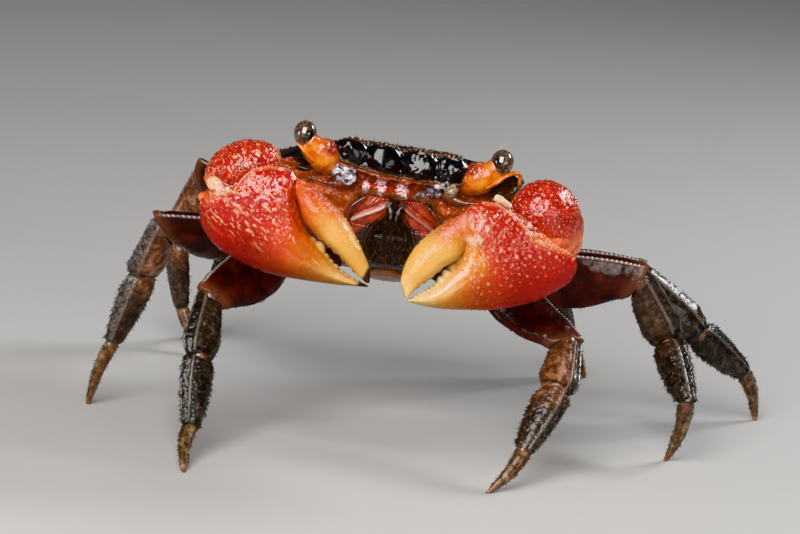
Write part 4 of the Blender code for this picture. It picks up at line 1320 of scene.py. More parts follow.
def mouth_tuft(side_name):
    """Dark bristles that fill the gap between the mouth plates."""
    side, count = SIDES[side_name], TUFT_BRISTLES
    height = RNG.uniform(-9.6, -1.6, count)
    across = side * RNG.uniform(0.0, 1.0, count) * np.interp(height, (-9.6, -1.6), (3.8, 1.2))
    front = np.interp(height, (-9.6, -1.6), (-9.6, -12.0)) + RNG.normal(size=count) * 0.2
    roots = np.stack((across, front, height), -1)
    ways = np.array((0.0, -0.9, -0.9)) + RNG.normal(size=(count, 3)) * 0.45
    lengths = RNG.uniform(0.5, 1.1, count)
    kinds = ("dark", BRISTLE, slice(0, TUFT_DARK)), ("brown", BROWN_HAIR, slice(TUFT_DARK, count))
    for label, kind, part in kinds:
        name = f"mouth_tuft_{label}_{side_name}"
        hairs = spikes(name, on_body(roots[part]), ways[part] @ BODY.T, lengths[part], 0.035)
        finished(hairs, kind, "mouthpart")


def palp(side_name):
    """Small jointed feeler that folds down between the mouth plates."""
    side = SIDES[side_name]
    path = ((1.0, -12.7, -2.3), (0.6, -12.9, -2.9), (0.35, -12.7, -3.6), (0.4, -12.2, -4.4))
    grid = rings_along(on_body(mirrored(path, side)), (0.26, 0.34, 0.2, 0.30, 0.17, 0.26, 0.14), 60, 24)
    grid = capped(raised(grid, 0.08 * rough(grid, 0.4, 41)), 0.3, 0.3)
    finished(plate(f"palp_{side_name}", grid), PALP, "mouthpart")
    tips = np.array([grid[-8].mean(axis=0) + RNG.normal(size=3) * 0.15 for _ in range(PALP_BRISTLES)])
    ways = (BODY @ np.array((-0.3 * side, -0.2, -1.0))) + RNG.normal(size=(PALP_BRISTLES, 3)) * 0.3
    brush = spikes(f"palp_brush_{side_name}", tips, ways, RNG.uniform(0.5, 1.0, PALP_BRISTLES), 0.02)
    finished(brush, BRISTLE, "mouthpart")


def side_branch(side_name):
    """Slender outer branch that lies along the mouth plate."""
    path = ((4.0, -12.6, -1.9), (5.5, -12.4, -3.3), (6.1, -11.8, -5.2), (5.6, -10.6, -7.6))
    grid = rings_along(on_body(mirrored(path, SIDES[side_name])), (0.18, 0.30, 0.34, 0.32, 0.26), 50, 24)
    grid = capped(raised(grid, 0.03 * rough(grid, 0.4, 43)), 0.3, 0.3)
    finished(plate(f"side_branch_{side_name}", grid), BRANCH, "mouthpart")


def eye(side_name):
    side = SIDES[side_name]
    rows, columns = EYE_GRID
    a = np.linspace(0.08, pi - 0.08, rows)[:, None]
    b = (np.arange(columns) / columns * 2 * pi)[None]
    wide, deep, tall = EYE_RADII
    points = np.stack((
        wide * np.sin(a) * np.cos(b), deep * np.sin(a) * np.sin(b), -tall * np.cos(a) + 0 * b,
    ), -1)
    spot = np.array((-0.6 * side, -1.1, -0.25))
    band = smooth(1.6 - np.linalg.norm((points - spot) / (0.5, 0.9, 0.75), axis=-1))
    world = on_body(points + mirrored(EYE_CENTRE, side))
    finished(plate(f"eye_ball_{side_name}", world, {"band": band}), EYE, "eye", f"eye_{side_name}")
    top = on_body(mirrored(EYE_CENTRE, side) + np.array((-0.2 * side, 0.1, tall - 0.05)))
    roots = top + RNG.normal(size=(EYE_BRISTLES, 3)) * 0.28
    ways = BODY @ np.array((0, 0, 1.0)) + RNG.normal(size=(EYE_BRISTLES, 3)) * 0.35
    lengths = RNG.uniform(0.3, 0.7, EYE_BRISTLES)
    finished(spikes(f"eye_bristles_{side_name}", roots, ways, lengths, 0.025), PALE_HAIR, "eye")


def eyestalk(side_name):
    """Soft stalk that sags below and grips the eye like a cup."""
    side = SIDES[side_name]
    grid = rings_along(on_body(mirrored(STALK_PATH, side)), STALK_RADII, *STALK_GRID)
    t = np.linspace(0, 1, STALK_GRID[0])[:, None]
    normals = outward(grid)[0]
    facing = normals @ (BODY @ np.array((0, 0, 1.0)))
    inward = normals @ (BODY @ np.array((-side, 0, 0.0)))
    patch = smooth((facing + 0.5 * inward + 0.1) / 0.5) * bump((t - 0.40) / 0.42)
    sag = smooth(-facing) * bump((t - 0.5) / 0.5)
    throat = 0.22 * bump((t - 0.70) / 0.16) * smooth(facing + 0.6)
    height = 0.30 * sag + 0.12 * bump((t - 0.9) / 0.14) - throat
    grid = with_cap(raised(grid, height + 0.14 * rough(grid, 1.0, 51)), 0.4, True)
    masks = {
        "patch": patch, "rim": bump((t - 0.93) / 0.06) * smooth(facing + 0.4),
        # Painted shade near the base and on the underside
        "dark": smooth((0.25 - t) / 0.2) + smooth(-facing - 0.5) * smooth((0.5 - t) / 0.3) + 0 * facing,
    }
    masks = {mask: stretched(np.clip(value, 0, 1), CAP_ROWS, 0) for mask, value in masks.items()}
    finished(plate(f"stalk_{side_name}", grid, masks), STALK, "eyestalk", f"eyestalk_{side_name}")
    orbit_flap(side_name)


# Flange that wraps below each eye, in the body's frame
FLANGE = {
    "left": (
        (11.0, -13.2, 1.5), (12.3, -13.4, 2.4), (13.3, -13.3, 3.4), (14.3, -12.9, 3.9), (15.1, -12.3, 3.8),
        (15.2, -11.8, 2.7),
    ),
    "right": ((-10.4, -12.9, 1.3), (-11.5, -13.4, 2.1), (-12.6, -13.6, 3.0), (-13.5, -13.3, 3.8)),
}


def orbit_flap(side_name):
    """Thin flange from under the eye to the corner of its socket."""
    grid = rings_along(on_body(FLANGE[side_name]), (0.35, 0.5, 0.46, 0.4, 0.34, 0.22), 80, 36, 0.6)
    grid = raised(grid, 0.08 * rough(grid, 0.6, 55))
    grid = capped(grid, 0.2, 0.2)
    finished(plate(f"socket_rim_{side_name}", grid), STALK, "eyestalk")


def feeler(side_name):
    side = SIDES[side_name]
    points = on_body(mirrored(FEELER_PATH, side))
    grid = rings_along(points, FEELER_RADII, 90, 24)
    t = np.linspace(0, 1, 90)[:, None]
    rings = 0.02 * np.sin(t * 90) * smooth((t - 0.3) / 0.1)
    grid = capped(raised(grid, rings + 0 * grid[..., 0]), 0.1, 0.3)
    finished(plate(f"feeler_{side_name}", grid), FEELER, "antenna", f"antenna_{side_name}")


# Walking legs


def direction(side, heading, pitch):
    h, p = radians(heading), radians(pitch)
    return np.array((side * cos(h) * cos(p), -sin(h) * cos(p), sin(p)))


def leg_points(side_name, pair):
    """Root, hip, knee, wrist, ankle and foot of one leg."""
    side = SIDES[side_name]
    hip = mirrored(HIPS[pair], side)
    root = hip - (side * ROOT_INSET, ROOT_LEAN * hip[1], -ROOT_RISE)
    points = [on_body(root), on_body(hip)]
    pose = LEG_POSE[side_name][pair]
    for (heading, pitch), length in zip(pose[:3], LEG_LENGTHS[pair]):
        points.append(points[-1] + length * direction(side, heading, pitch))
    reach = LEG_LENGTHS[pair][3]
    pitch = -degrees(asin(points[-1][2] / reach))
    points.append(points[-1] + reach * direction(side, pose[3], pitch))
    return points


def run(start, end, flex, planes, breadths, thicknesses, rows, columns, bow=0.0):
    """Rings of a flat segment between two joint planes, and their angles from the upper crest."""
    along = unit(end - start)
    thin = unit(flex - along * (flex @ along))
    broad = np.cross(along, thin)
    t = np.linspace(0, 1, rows)
    first, last = smooth(1 - t / TURN_SHARE)[:, None], smooth(1 - (1 - t) / TURN_SHARE)[:, None]
    plane = unit(planes[0] * first + planes[1] * last + along * (1 - first - last))
    centre = start + (end - start) * t[:, None] + broad * (bow * np.sin(pi * t))[:, None]
    a = np.arange(columns) / columns * 2 * pi
    height = breadths[:, None] * np.cos(a)
    width = thicknesses[:, None] * np.sin(a) * (1 - CREST_TAPER * np.maximum(0.0, np.cos(a)) ** 2)
    point = broad * height[..., None] + thin * width[..., None]
    slide = -(point * plane[:, None]).sum(-1) / (along @ plane.T)[:, None]
    return centre[:, None] + point + along * slide[..., None], t, a


def leg_surface(name, points, index, planes, flex, scale, side):
    """Grid of one leg segment, from its joint plane to the next, with each point's place along it and angle
    round it.
    """
    start, end = points[index], points[index + 1]
    rows, columns = LEG_GRIDS[name]
    along = unit(end - start)
    if name in ("carpus", "propodus", "dactylus"):
        start = start - along * JOINT_DEPTH
    t = np.linspace(0, 1, rows)
    breadth = profile(BREADTHS[name], t) * scale
    thickness = profile(THICKNESSES[name], t) * scale
    if name in ("carpus", "propodus", "dactylus"):
        neck = 1 - 0.3 * smooth(1 - t / 0.12)
        breadth, thickness = breadth * neck, thickness * neck
    if name in ("merus", "carpus", "propodus"):
        end = end - along * JOINT_GAP * 0.25
        lip = 1 + 0.05 * bump((t - 0.965) / 0.05)
        breadth, thickness = breadth * lip, thickness * lip
    bow = DACTYLUS_BOW if name == "dactylus" else 0.0
    grid, t, a = run(start, end, flex, planes, breadth, thickness, rows, columns, bow)
    around = (-side * a + pi) % (2 * pi) - pi
    return grid, t[:, None] * np.ones(columns), around[None] * np.ones((rows, 1))


# Lengthwise ridges of each segment, as the angle from its upper crest toward the crab's front
RIDGES = {
    "root": (), "merus": (0.42, -0.42), "carpus": (0.0, 0.95, -0.95), "propodus": (0.0, 0.95, -0.95),
    "dactylus": (0.0, 0.9, -0.9, 1.9, -1.9),
}
RIDGE_HEIGHT = {"root": 0.0, "merus": 0.10, "carpus": 0.20, "propodus": 0.15, "dactylus": 0.07}
BEAD_SPACING = {"root": 1.2, "merus": 1.0, "carpus": 0.62, "propodus": 0.42, "dactylus": 0.5}
BEAD_HEIGHT = {"root": 0.02, "merus": 0.02, "carpus": 0.05, "propodus": 0.10, "dactylus": 0.03}
BRISTLE_COUNT = {"root": 0, "merus": 36, "carpus": 80, "propodus": 200, "dactylus": 110}
BRISTLE_LENGTH = {"root": 0.3, "merus": 0.28, "carpus": 0.38, "propodus": 0.5, "dactylus": 0.4}
# How pale and warm the outer segments of each leg are, and the share that each shows near its start and end
LEG_WARMTH = {"left": (0.65, 0.10, 0.0, 0.0), "right": (0.0, 0.75, 0.8, 0.0)}
WARM_SHARE = {
    "root": (0.0, 0.0), "merus": (0.0, 0.0), "carpus": (0.75, 1.0), "propodus": (0.8, 0.12),
    "dactylus": (0.3, 0.3),
}
# How much painted grey light the crest of each leg's outer segments shows
LEG_PAINTED_CREST_LIGHT = {"left": (0.15, 0.1, 0.0, 0.0), "right": (0.0, 0.7, 0.1, 0.0)}


def dressed(name, grid, t, around):
    """Grid with ridges, beads and grain raised on it, and the masks that colour it."""
    ridge = np.zeros_like(t)
    for angle in RIDGES[name]:
        ridge = np.maximum(ridge, bump((around - angle) / 0.16))
    ends = smooth(t / 0.08) * smooth((1 - t) / 0.05)
    height = RIDGE_HEIGHT[name] * ridge * ends + 0.06 * rough(grid, 1.0, 61) * ends
    grid = raised(grid, height)
    flat = grid.reshape(-1, 3)
    weight = np.full(t.size, 0.5) * (0.15 + 0.85 * smooth(np.cos(around) * 1.3 + 0.3)).ravel()
    chosen = scatter(flat, weight, BEAD_SPACING[name], 6000)
    bead = beads(grid, flat[chosen], RNG.uniform(0.10, 0.18, len(chosen)))
    tops = np.zeros_like(bead)
    if name == "merus":
        j = int(np.argmin(np.abs(around[0] - RIDGES[name][0])))
        rows = (np.arange(0.08, 0.95, 0.026) * (len(t) - 1)).astype(int)
        tops = beads(grid, grid[rows, j], RNG.uniform(0.12, 0.18, len(rows)))
    grid = raised(grid, (BEAD_HEIGHT[name] * bead + 0.12 * tops) * ends)
    return grid, {"ridge": ridge * ends, "bead": bead * ends * (name != "merus"), "tops": tops * ends}


def leg_warmth(side_name, pair, name, t, around):
    """Share of warm pale colour: least along the crest, and fading along the segment."""
    near, far = WARM_SHARE[name]
    share = near + (far - near) * smooth((t - 0.15) / 0.3)
    return LEG_WARMTH[side_name][pair] * share * (0.15 + 0.85 * smooth((np.abs(around) - 0.5) / 0.5))


def leg_bristles(name, grid, t, around):
    count = BRISTLE_COUNT[name]
    if not count:
        return [], [], []
    normals = outward(grid)[0].reshape(-1, 3)
    margin = np.maximum(bump(around / 0.5), bump((np.abs(around) - pi) / 0.6))
    weight = (0.08 + margin) * smooth(t / 0.1) * smooth((1 - t) / 0.03)
    if name == "dactylus":
        weight = weight + 0.4
    weight = weight.ravel() / weight.sum()
    chosen = RNG.choice(t.size, count, replace=False, p=weight)
    points = grid.reshape(-1, 3)[chosen]
    along = unit(grid[-1].mean(axis=0) - grid[0].mean(axis=0))
    ways = normals[chosen] + along * 0.9 + RNG.normal(size=(count, 3)) * 0.18
    lengths = BRISTLE_LENGTH[name] * RNG.uniform(0.5, 1.2, count)
    high = points[:, 2] > 0.7
    return points[high], ways[high], lengths[high]


def leg(side_name, pair):
    side = SIDES[side_name]
    points = leg_points(side_name, pair)
    runs = [unit(b - a) for a, b in zip(points, points[1:])]
    flex = unit(np.cross(runs[1], runs[2]))
    planes = [runs[0]] + [unit(a + b) for a, b in zip(runs, runs[1:])] + [np.array((0, 0, -1.0))]
    scale = PAIR_SCALE[pair]
    label = f"leg{pair + 1}_{side_name}"
    hairs = [[], [], []]
    for index, name in enumerate(SEGMENTS):
        grid, t, around = leg_surface(name, points, index, planes[index:index + 2], flex, scale, side)
        grid, masks = dressed(name, grid, t, around)
        masks["shade"] = leg_shade(name, t, around)
        masks["warm"] = leg_warmth(side_name, pair, name, t, around)
        # Painted light on the crest, mottled
        painted_crest_light = smooth((1.1 - np.abs(around)) / 0.4) * (0.6 + 0.4 * noise(grid, 1.2, 69))
        masks["painted_crest_light"] = LEG_PAINTED_CREST_LIGHT[side_name][pair] * painted_crest_light * (name in ("carpus", "propodus"))
        lines = beside(around, 1.45 + 0.25 * noise(grid, 1.6, 67), 0.26) * smooth((t - 0.3) / 0.25)
        masks["stripe"] = masks["warm"] * lines * (name == "carpus")
        masks["end"] = 0.4 * smooth((t - 0.88) / 0.10) if name == "merus" else 0 * t
        if name == "dactylus":
            grid[-1, :, 2] = 0.0
            grid[..., 2] = np.maximum(grid[..., 2], 0.0)
            masks["end"] = 0.5 * smooth((t - 0.72) / 0.25)
        for store, more in zip(hairs, leg_bristles(name, grid, t, around)):
            store.extend(more)
        if name == "root":
            root, root_masks = grid[:-1], {mask: value[:-1] for mask, value in masks.items()}
            continue
        if name == "merus":
            grid = np.concatenate((root, grid))
            masks = {mask: np.concatenate((root_masks[mask], value)) for mask, value in masks.items()}
        caps = 0 if name == "dactylus" else CAP_ROWS
        if caps:
            grid = with_cap(grid, JOINT_DEPTH, True)
        masks = {mask: stretched(value, caps, 0) for mask, value in masks.items()}
        piece = plate(f"{label}_{name}_shell", grid, masks)
        finished(piece, LEG_FINISHES[name], f"leg_{name}", f"{label}_{name}")
    finished(spikes(f"{label}_bristles", *hairs, 0.055), BRISTLE, "leg_propodus")
    joints(label, points, scale)


def leg_shade(name, t, around):
    """How black each part of a segment is."""
    if name == "merus":
        return np.clip(0.5 * smooth((0.45 - t) / 0.5) + 0.45 * beside(around, 0.0, 0.5), 0, 1)
    if name in ("carpus", "propodus"):
        return 0.3 * smooth(np.cos(around)) + 0.85 * bump((t - 0.94) / 0.06) * (name == "carpus")
    return 0 * t


def joints(label, points, scale):
    """Soft skin that fills each joint between two plates."""
    rounds = []
    for index, radius in JOINT_SKIN_RADII:
        along = unit(points[index + 1] - points[index - 1])
        path = points[index] + along * np.linspace(-JOINT_SKIN_REACH, JOINT_SKIN_REACH, 4)[:, None]
        rounds.append((index, rings_along(path, np.array((0.8, 1, 1, 0.8)) * radius * scale, 14, 28)))
    for index, grid in rounds:
        grid = capped(grid, 0.4, 0.4)
        finished(plate(f"{label}_joint_{index - 1}", grid), JOINT_SKIN, "leg_carpus")


# Claws


def hand_frame(side_name):
    side = SIDES[side_name]
    along = direction(side, HAND_HEADING[side_name], HAND_PITCH[side_name])
    up = unit(np.array((0, 0, 1.0)) - along * along[2])
    out = unit(np.cross(along, up)) * -side
    turn = radians(HAND_TURN[side_name])
    return along, up * cos(turn) - out * sin(turn), out * cos(turn) + up * sin(turn)


def claw_grid(top, bottom, thicknesses, grid_size, fullness):
    """Rings spanned between two edge curves, closer together on the outer face: places and angles."""
    rows, columns = grid_size
    t = np.linspace(0, 1, rows)
    high, low = through(top, t), through(bottom, t)
    middle, half = (high + low) / 2, (high - low) / 2
    a = np.arange(columns) / columns * 2 * pi
    a = a + 0.4 * np.cos(a)
    spread = np.sign(np.cos(a)) * np.abs(np.cos(a)) ** fullness
    depth = np.sign(np.sin(a)) * np.abs(np.sin(a)) ** fullness
    place = middle[:, None] + half[:, None] * spread[None, :, None]
    width = profile(thicknesses, t)[:, None] * depth[None]
    place = np.concatenate((place, width[..., None]), axis=-1)
    return place, a[None] * np.ones((rows, 1))


def hand_world(side_name, place):
    axes = np.array(hand_frame(side_name))
    return placed(HAND_START[side_name]) + place @ axes


def teeth_height(place, edge, teeth):
    """Height of rounded teeth along a cutting edge."""
    total = np.zeros(place.shape[:2])
    for at, tall, half in teeth:
        total = np.maximum(total, tall * np.sqrt(bump((place[..., 0] - at) / half / 1.25)))
    return total * edge


# Details of the hands, as places along and up the hand: knobs and their radii, folds, rim and hinge
HAND_KNOBS = {
    "left": (((2.76, 1.91), (0.5, 0.5)), ((3.4, 1.0), (0.5, 0.45)), ((10.2, 2.95), (0.9, 0.8))),
    "right": (((-0.7, 0.4), (1.5, 0.9)), ((0.5, 0.9), (0.7, 0.5))),
}
HAND_FOLDS = {
    "left": (((-1.4, -3.4), (0.8, -1.6), (3.0, -0.1)),),
    "right": (((-1.1, -0.7), (0.3, 0.0), (1.5, 1.2)),),
}
# Edge of the hand toward the wrist: how far along the hand it lies at each height
WRIST_EDGE = {
    "left": (
        (-1.6, -4.2), (1.4, -1.9), (3.7, 0.2), (3.5, 1.2), (4.0, 2.6), (4.5, 4.1), (5.3, 5.3), (6.7, 6.2),
    ),
    "right": ((-1.8, -0.9), (0.0, -0.1), (1.3, 1.3), (1.4, 2.9), (1.9, 4.2), (3.2, 5.5)),
}
# Smooth orange band along the wrist edge of the crab's left hand
WRIST_PLATE = ((-1.2, -3.2), (1.0, -1.5), (3.0, 0.2))
HAND_RIM = {
    "left": ((3.8, 0.3), (3.6, 1.2), (4.1, 2.6), (4.6, 4.1), (5.4, 5.3), (6.8, 6.2)),
    "right": ((1.4, 1.4), (1.5, 2.9), (2.0, 4.2), (3.3, 5.5), (4.9, 6.1)),
}
HINGE = {
    "left": ((9.4, 5.6), (10.24, 4.39), (10.35, 2.6), (10.12, 1.39)),
    "right": ((7.0, 5.4), (8.19, 3.19), (9.4, 1.9), (10.77, 1.04)),
}
# Spacing, smallest and largest radius of the granules, size of the streaks, and how far both stand up
HAND_BEADS = {"left": ((1.05, 0.17, 0.28), (0.6, 0.07, 0.14)), "right": ((0.8, 0.08, 0.17),)}
WRIST_BEADS = {"left": ((0.8, 0.10, 0.17), (0.45, 0.06, 0.11)), "right": ((0.8, 0.07, 0.15),)}
STREAK_SIZE = (0.8, 0.18)
# Way that the streaks run, along and up the hand
STREAK_WAY = {"left": (0.82, -0.57), "right": (0.98, -0.2)}
BEAD_RISE = 0.12
# How far along each hand its granules reach
GRANULE_END = {"left": 13.0, "right": 9.8}
# How much paler the upper edge of each fixed finger is
UPPER_PALENESS = {"left": 0.20, "right": 0.03}
# Length over which the colours run from red to ivory, and how much further along they start
COLOUR_RUN = 22
COLOUR_LEAD = {"left": 0.0, "right": 0.05}
# Where the dark horny tips start along hand and finger
HAND_HORN = {"left": 20.2, "right": 19.4}
FINGER_HORN = {"left": 20.3, "right": 19.6}
# Squareness of the claws' sections: 1 is an oval
HAND_FULLNESS = 0.92
FINGER_FULLNESS = 0.95
RIM_BEADS = 19


def hand(side_name):
    outline = HAND_TOP[side_name], HAND_BOTTOM[side_name], np.array(HAND_THICKNESS[side_name]) * 0.97
    place, a = claw_grid(*outline, HAND_GRID, HAND_FULLNESS)
    edge = beside(a, 0.0, 0.5) * smooth((place[..., 0] - 11.0) / 1.0)
    teeth = teeth_height(place, edge, HAND_TEETH[side_name])
    place[..., 1] += teeth
    u, v, w = (place[..., k] for k in range(3))
    flat_place = np.stack((u, v), -1)
    outer = smooth(w / 1.2)
    palm = smooth((11.0 - u) / 2.5)
    edge_u, edge_v = np.array(WRIST_EDGE[side_name]).T
    wristward = smooth((np.interp(v, edge_v, edge_u) - u) / 0.35) * outer
    if side_name == "right":
        wristward = wristward * smooth((v + 0.9) / 0.4)
        skin = 0.9 * near_spot(flat_place, (-0.9, -1.4), (1.6, 1.2)) * outer
    else:
        plate_line = near_line(flat_place, WRIST_PLATE, 1.3) * outer
        skin = np.maximum(wristward * smooth((0.9 - v) / 0.6), 0.65 * smooth(plate_line * 2))
    rim = near_line(flat_place, HAND_RIM[side_name], 0.32) * outer
    knob, fold = np.zeros_like(u), np.zeros_like(u)
    for spot, radii in HAND_KNOBS[side_name]:
        knob = np.maximum(knob, np.sqrt(near_spot(flat_place, spot, radii)) * outer)
    for line in HAND_FOLDS[side_name]:
        fold = np.maximum(fold, near_line(flat_place, line, 0.4) * outer)
    height = 0.22 * rim + 0.35 * knob + 0.12 * fold - 0.35 * wristward
    height = height + 0.5 * (side_name == "left") * near_spot(flat_place, (9.3, 4.3), (2.6, 2.6)) * outer
    height = height - 0.25 * near_line(flat_place, HINGE[side_name], 0.5) * outer
    fan = near_spot(flat_place, (9.0, 4.6), (1.9, 1.9)) * smooth(w / 0.5) * (side_name == "left")
    pleats = np.sin(14 * np.arctan2(v - 2.9, u - 10.3)) * fan
    height = height + 0.18 * pleats + 0.08 * np.sin(6 * (u + v)) * skin
    world = hand_world(side_name, place)
    low_smooth = smooth((-2.5 - v) / 2.5)
    wrinkles = 0.12 * rough(world, 1.6, 71) + 0.09 * rough(world, 0.55, 75, 2) * (1 - low_smooth)
    world = raised(world, height + wrinkles * palm)
    zone = smooth((GRANULE_END[side_name] - u) / 2.4)
    zone = zone * (0.10 + 0.90 * smooth((v + 5.2) / 2.5)) * (0.3 + 0.7 * smooth(w + 0.5))
    patchy = 0.35 + 0.65 * smooth(1.5 * noise(world, 2.6, 79) + 0.6)
    along, up, _ = hand_frame(side_name)
    streaked = smooth((v - 1.0) / 1.5) if side_name == "left" else 1.0
    ahead, above = STREAK_WAY[side_name]
    way = unit(along * ahead + up * above)
    dash = streaks(world, way, STREAK_SIZE, 77) * zone * (1 - skin) * (1 - knob)
    round_beads = granules(world, 0.9 * zone * patchy * (1 - knob) * (1 - skin), HAND_BEADS[side_name])
    bead = np.maximum(dash * streaked, round_beads * (1 - 0.5 * streaked))
    rim_beads = through(HAND_RIM[side_name], np.linspace(0, 1, RIM_BEADS))
    flat = world.reshape(-1, 3)
    on_rim = np.array([
        flat[np.argmin(((flat_place.reshape(-1, 2) - spot) ** 2).sum(axis=-1) + 9 * (w.ravel() < 0))]
        for spot in rim_beads
    ])
    bead = np.maximum(bead, 0.8 * beads(world, on_rim, np.full(len(on_rim), 0.17)))
    world = raised(world, BEAD_RISE * bead)
    # Painted shade on the hand's underside, growing toward the fingers
    below = smooth((0.1 + 0.3 * smooth((u - 11) / 3) - np.cos(a)) / 0.9)
    below = below * (0.35 + 0.65 * smooth((u - 2) / 6))
    paler = UPPER_PALENESS[side_name] * smooth((v + 3.0) / 3.5) * smooth((u - 8.8) / 1.8)
    masks = {
        "reach": np.clip(u / COLOUR_RUN + paler + COLOUR_LEAD[side_name], 0, 1),
        "under": smooth((0.25 - np.cos(a)) / 0.8),
        "bead": bead * smooth((v + 6.0) / 3), "rim": rim, "fold": fold,
        "wristward": wristward, "skin": skin, "tooth": smooth(teeth * 5),
        "cut": beside(a, -0.05, 0.45) * smooth((u - 10.5) / 1.5) * (1 - smooth(teeth * 5)),
        "knob": np.maximum(knob, 0.9 * fan * (0.5 + 0.5 * pleats)),
        # Painted shade: the underside, and on the crab's right hand also the fixed finger
        "shade": 0.6 * below if side_name == "left" else np.maximum(below, 0.45 * smooth((u - 9.5) / 3.5)),
        "horn": smooth((u - HAND_HORN[side_name]) / 0.6),
        "net": 0.45 * bump((u - 12.5) / 3.5),
        "calm": 0.9 * np.maximum(low_smooth, smooth((u - GRANULE_END[side_name] + 0.5) / 2)),
    }
    world = capped(world, 0.25, 0.5)
    masks = {mask: stretched(value, CAP_ROWS, CAP_ROWS) for mask, value in masks.items()}
    piece = plate(f"claw_{side_name}_hand_shell", world, masks)
    finished(piece, HAND, "claw_hand", f"claw_{side_name}_palm")


def finger(side_name):
    outline = FINGER_TOP[side_name], FINGER_BOTTOM[side_name], np.array(FINGER_THICKNESS[side_name]) * 0.98
    place, a = claw_grid(*outline, FINGER_GRID, FINGER_FULLNESS)
    place[..., 1] -= teeth_height(place, beside(a, pi, 0.5), FINGER_TEETH)
    u, w = place[..., 0], place[..., 2]
    crest = beside(a, 0.5, 1.15) if side_name == "left" else beside(a, 0.35, 1.0)
    red_top = np.clip(crest * smooth((16.5 - u) / 4.0), 0, 1)
    world = hand_world(side_name, place)
    world = raised(world, 0.06 * rough(world, 1.2, 81) + 0.09 * rough(world, 0.45, 85, 2) * red_top)
    flat = world.reshape(-1, 3)
    region = crest * smooth((18.0 - u) / 5)
    chosen = scatter(flat, 0.8 * np.clip(region, 0, 1).ravel(), 0.58, 4000)
    bead = beads(world, flat[chosen], RNG.uniform(0.08, 0.17, len(chosen)))
    world = raised(world, 0.10 * bead)
    base = smooth((11.8 - u) / 1.8) * smooth(w / 1.5) * (side_name == "left")
    upper = 0.5 * beside(a, 0.7, 0.5) * smooth((15.5 - u) / 3.0) * (side_name == "left")
    # Painted shade toward the tip of the crab's right finger
    painted_tip_shade = 0.5 * smooth((u - 13.0) / 5.0) * (side_name == "right")
    masks = {
        "reach": np.clip(u / COLOUR_RUN, 0, 1),
        "bead": bead, "ridge": red_top, "knob": np.maximum(base, upper),
        "horn": smooth((u - FINGER_HORN[side_name]) / 0.5),
        # Painted shade on the finger's underside and, on the crab's right, toward its tip
        "cut": beside(a, pi, 0.55), "shade": np.maximum(smooth((-0.1 - np.cos(a)) / 0.9) * 0.8, painted_tip_shade),
        "net": 0.75 * smooth((14.0 - u) / 3.5), "calm": 0.8 * smooth((u - 11.5) / 2) * (1 - red_top),
    }
    world = capped(world, 0.25, 0.5)
    masks = {mask: stretched(value, CAP_ROWS, CAP_ROWS) for mask, value in masks.items()}
    piece = plate(f"claw_{side_name}_finger_shell", world, masks)
    finished(piece, FINGER, "claw_finger", f"claw_{side_name}_finger")


def egg(centre, axes, rows, columns):
    a = np.linspace(0.06, pi - 0.06, rows)[:, None, None]
    b = (np.arange(columns) / columns * 2 * pi)[None, :, None]
    long, wide, deep = axes
    return centre - long * np.cos(a) + np.sin(a) * (wide * np.cos(b) + deep * np.sin(b))


def wrist(side_name):
    along, up, out = hand_frame(side_name)
    forward, upward = WRIST_SLANT
    seam = unit(along * forward + up * upward)
    cap = unit(up * forward - along * upward)
    long, tall, deep = np.array(WRIST_RADII[side_name]) * 0.98
    centre = placed(WRIST_CENTRE[side_name])
    world = egg(centre, (seam * long, cap * tall, out * deep), *WRIST_GRID)
    local = world - centre
    sag = WRIST_SAG[side_name] * np.minimum(0.0, local @ up + 0.8)
    world = world + sag[..., None] * (up + 0.25 * along)
    low = smooth((-(local @ up) - 1.5) / 1.6)
    folds = 0.10 * np.sin((local @ up) * 5.5 + (local @ along) * 1.5) * low
    world = raised(world, folds + 0.10 * rough(world, 1.8, 91) + 0.06 * rough(world, 0.5, 95, 2))
    bead = granules(world, 0.8 * (1 - low), WRIST_BEADS[side_name])
    if side_name == "right":
        dash = streaks(world, unit(along * 0.7 - up * 0.7), STREAK_SIZE, 97) * (1 - low)
        bead = np.maximum(dash, 0.6 * bead)
    world = raised(world, BEAD_RISE * bead)
    piece = plate(f"claw_{side_name}_wrist_shell", world, {"bead": bead, "skin": low})
    finished(piece, WRIST, "claw_wrist", f"claw_{side_name}_carpus")
    knuckles(side_name)


# Soft folds and knuckles between wrist and hand: name, place along, up and out of the hand, radii, material
KNUCKLES = {
    "left": (("wrist_fold", (-1.4, -2.6, -0.2), (2.6, 1.6, 1.8), "salmon"),),
    "right": (("knuckle", (-1.2, 0.3, 2.5), (1.3, 0.85, 0.75), "pearl"),
              ("wrist_fold", (-1.5, -1.9, 2.0), (1.1, 0.8, 0.9), "salmon")),
}


# Cream rod on the upper edge of the crab's left hand: places along, up and out of the hand, and its radii
TOP_ROD = ((3.5, 4.4, 0.7), (3.9, 5.0, 0.62), (4.3, 5.5, 0.55), (4.7, 6.0, 0.45))
TOP_ROD_RADII = (0.36, 0.44, 0.52, 0.46)


def knuckles(side_name):
    axes = np.array(hand_frame(side_name))
    for label, spot, radii, kind in KNUCKLES[side_name]:
        long, tall, deep = axes * np.array(radii)[:, None]
        grid = egg(hand_world(side_name, np.array(spot)), (long, tall, deep), 48, 56)
        grid = raised(grid, 0.12 * rough(grid, 0.8, 121))
        finished(plate(f"claw_{side_name}_{label}", grid), SOFT_SKINS[kind], "claw_wrist")
    if side_name == "left":
        grid = rings_along(hand_world(side_name, np.array(TOP_ROD)), TOP_ROD_RADII, 50, 36)
        grid = capped(raised(grid, 0.06 * rough(grid, 0.5, 125)), 0.3, 0.3)
        finished(plate("claw_left_top_rod", grid), SOFT_SKINS["petal"], "claw_hand")


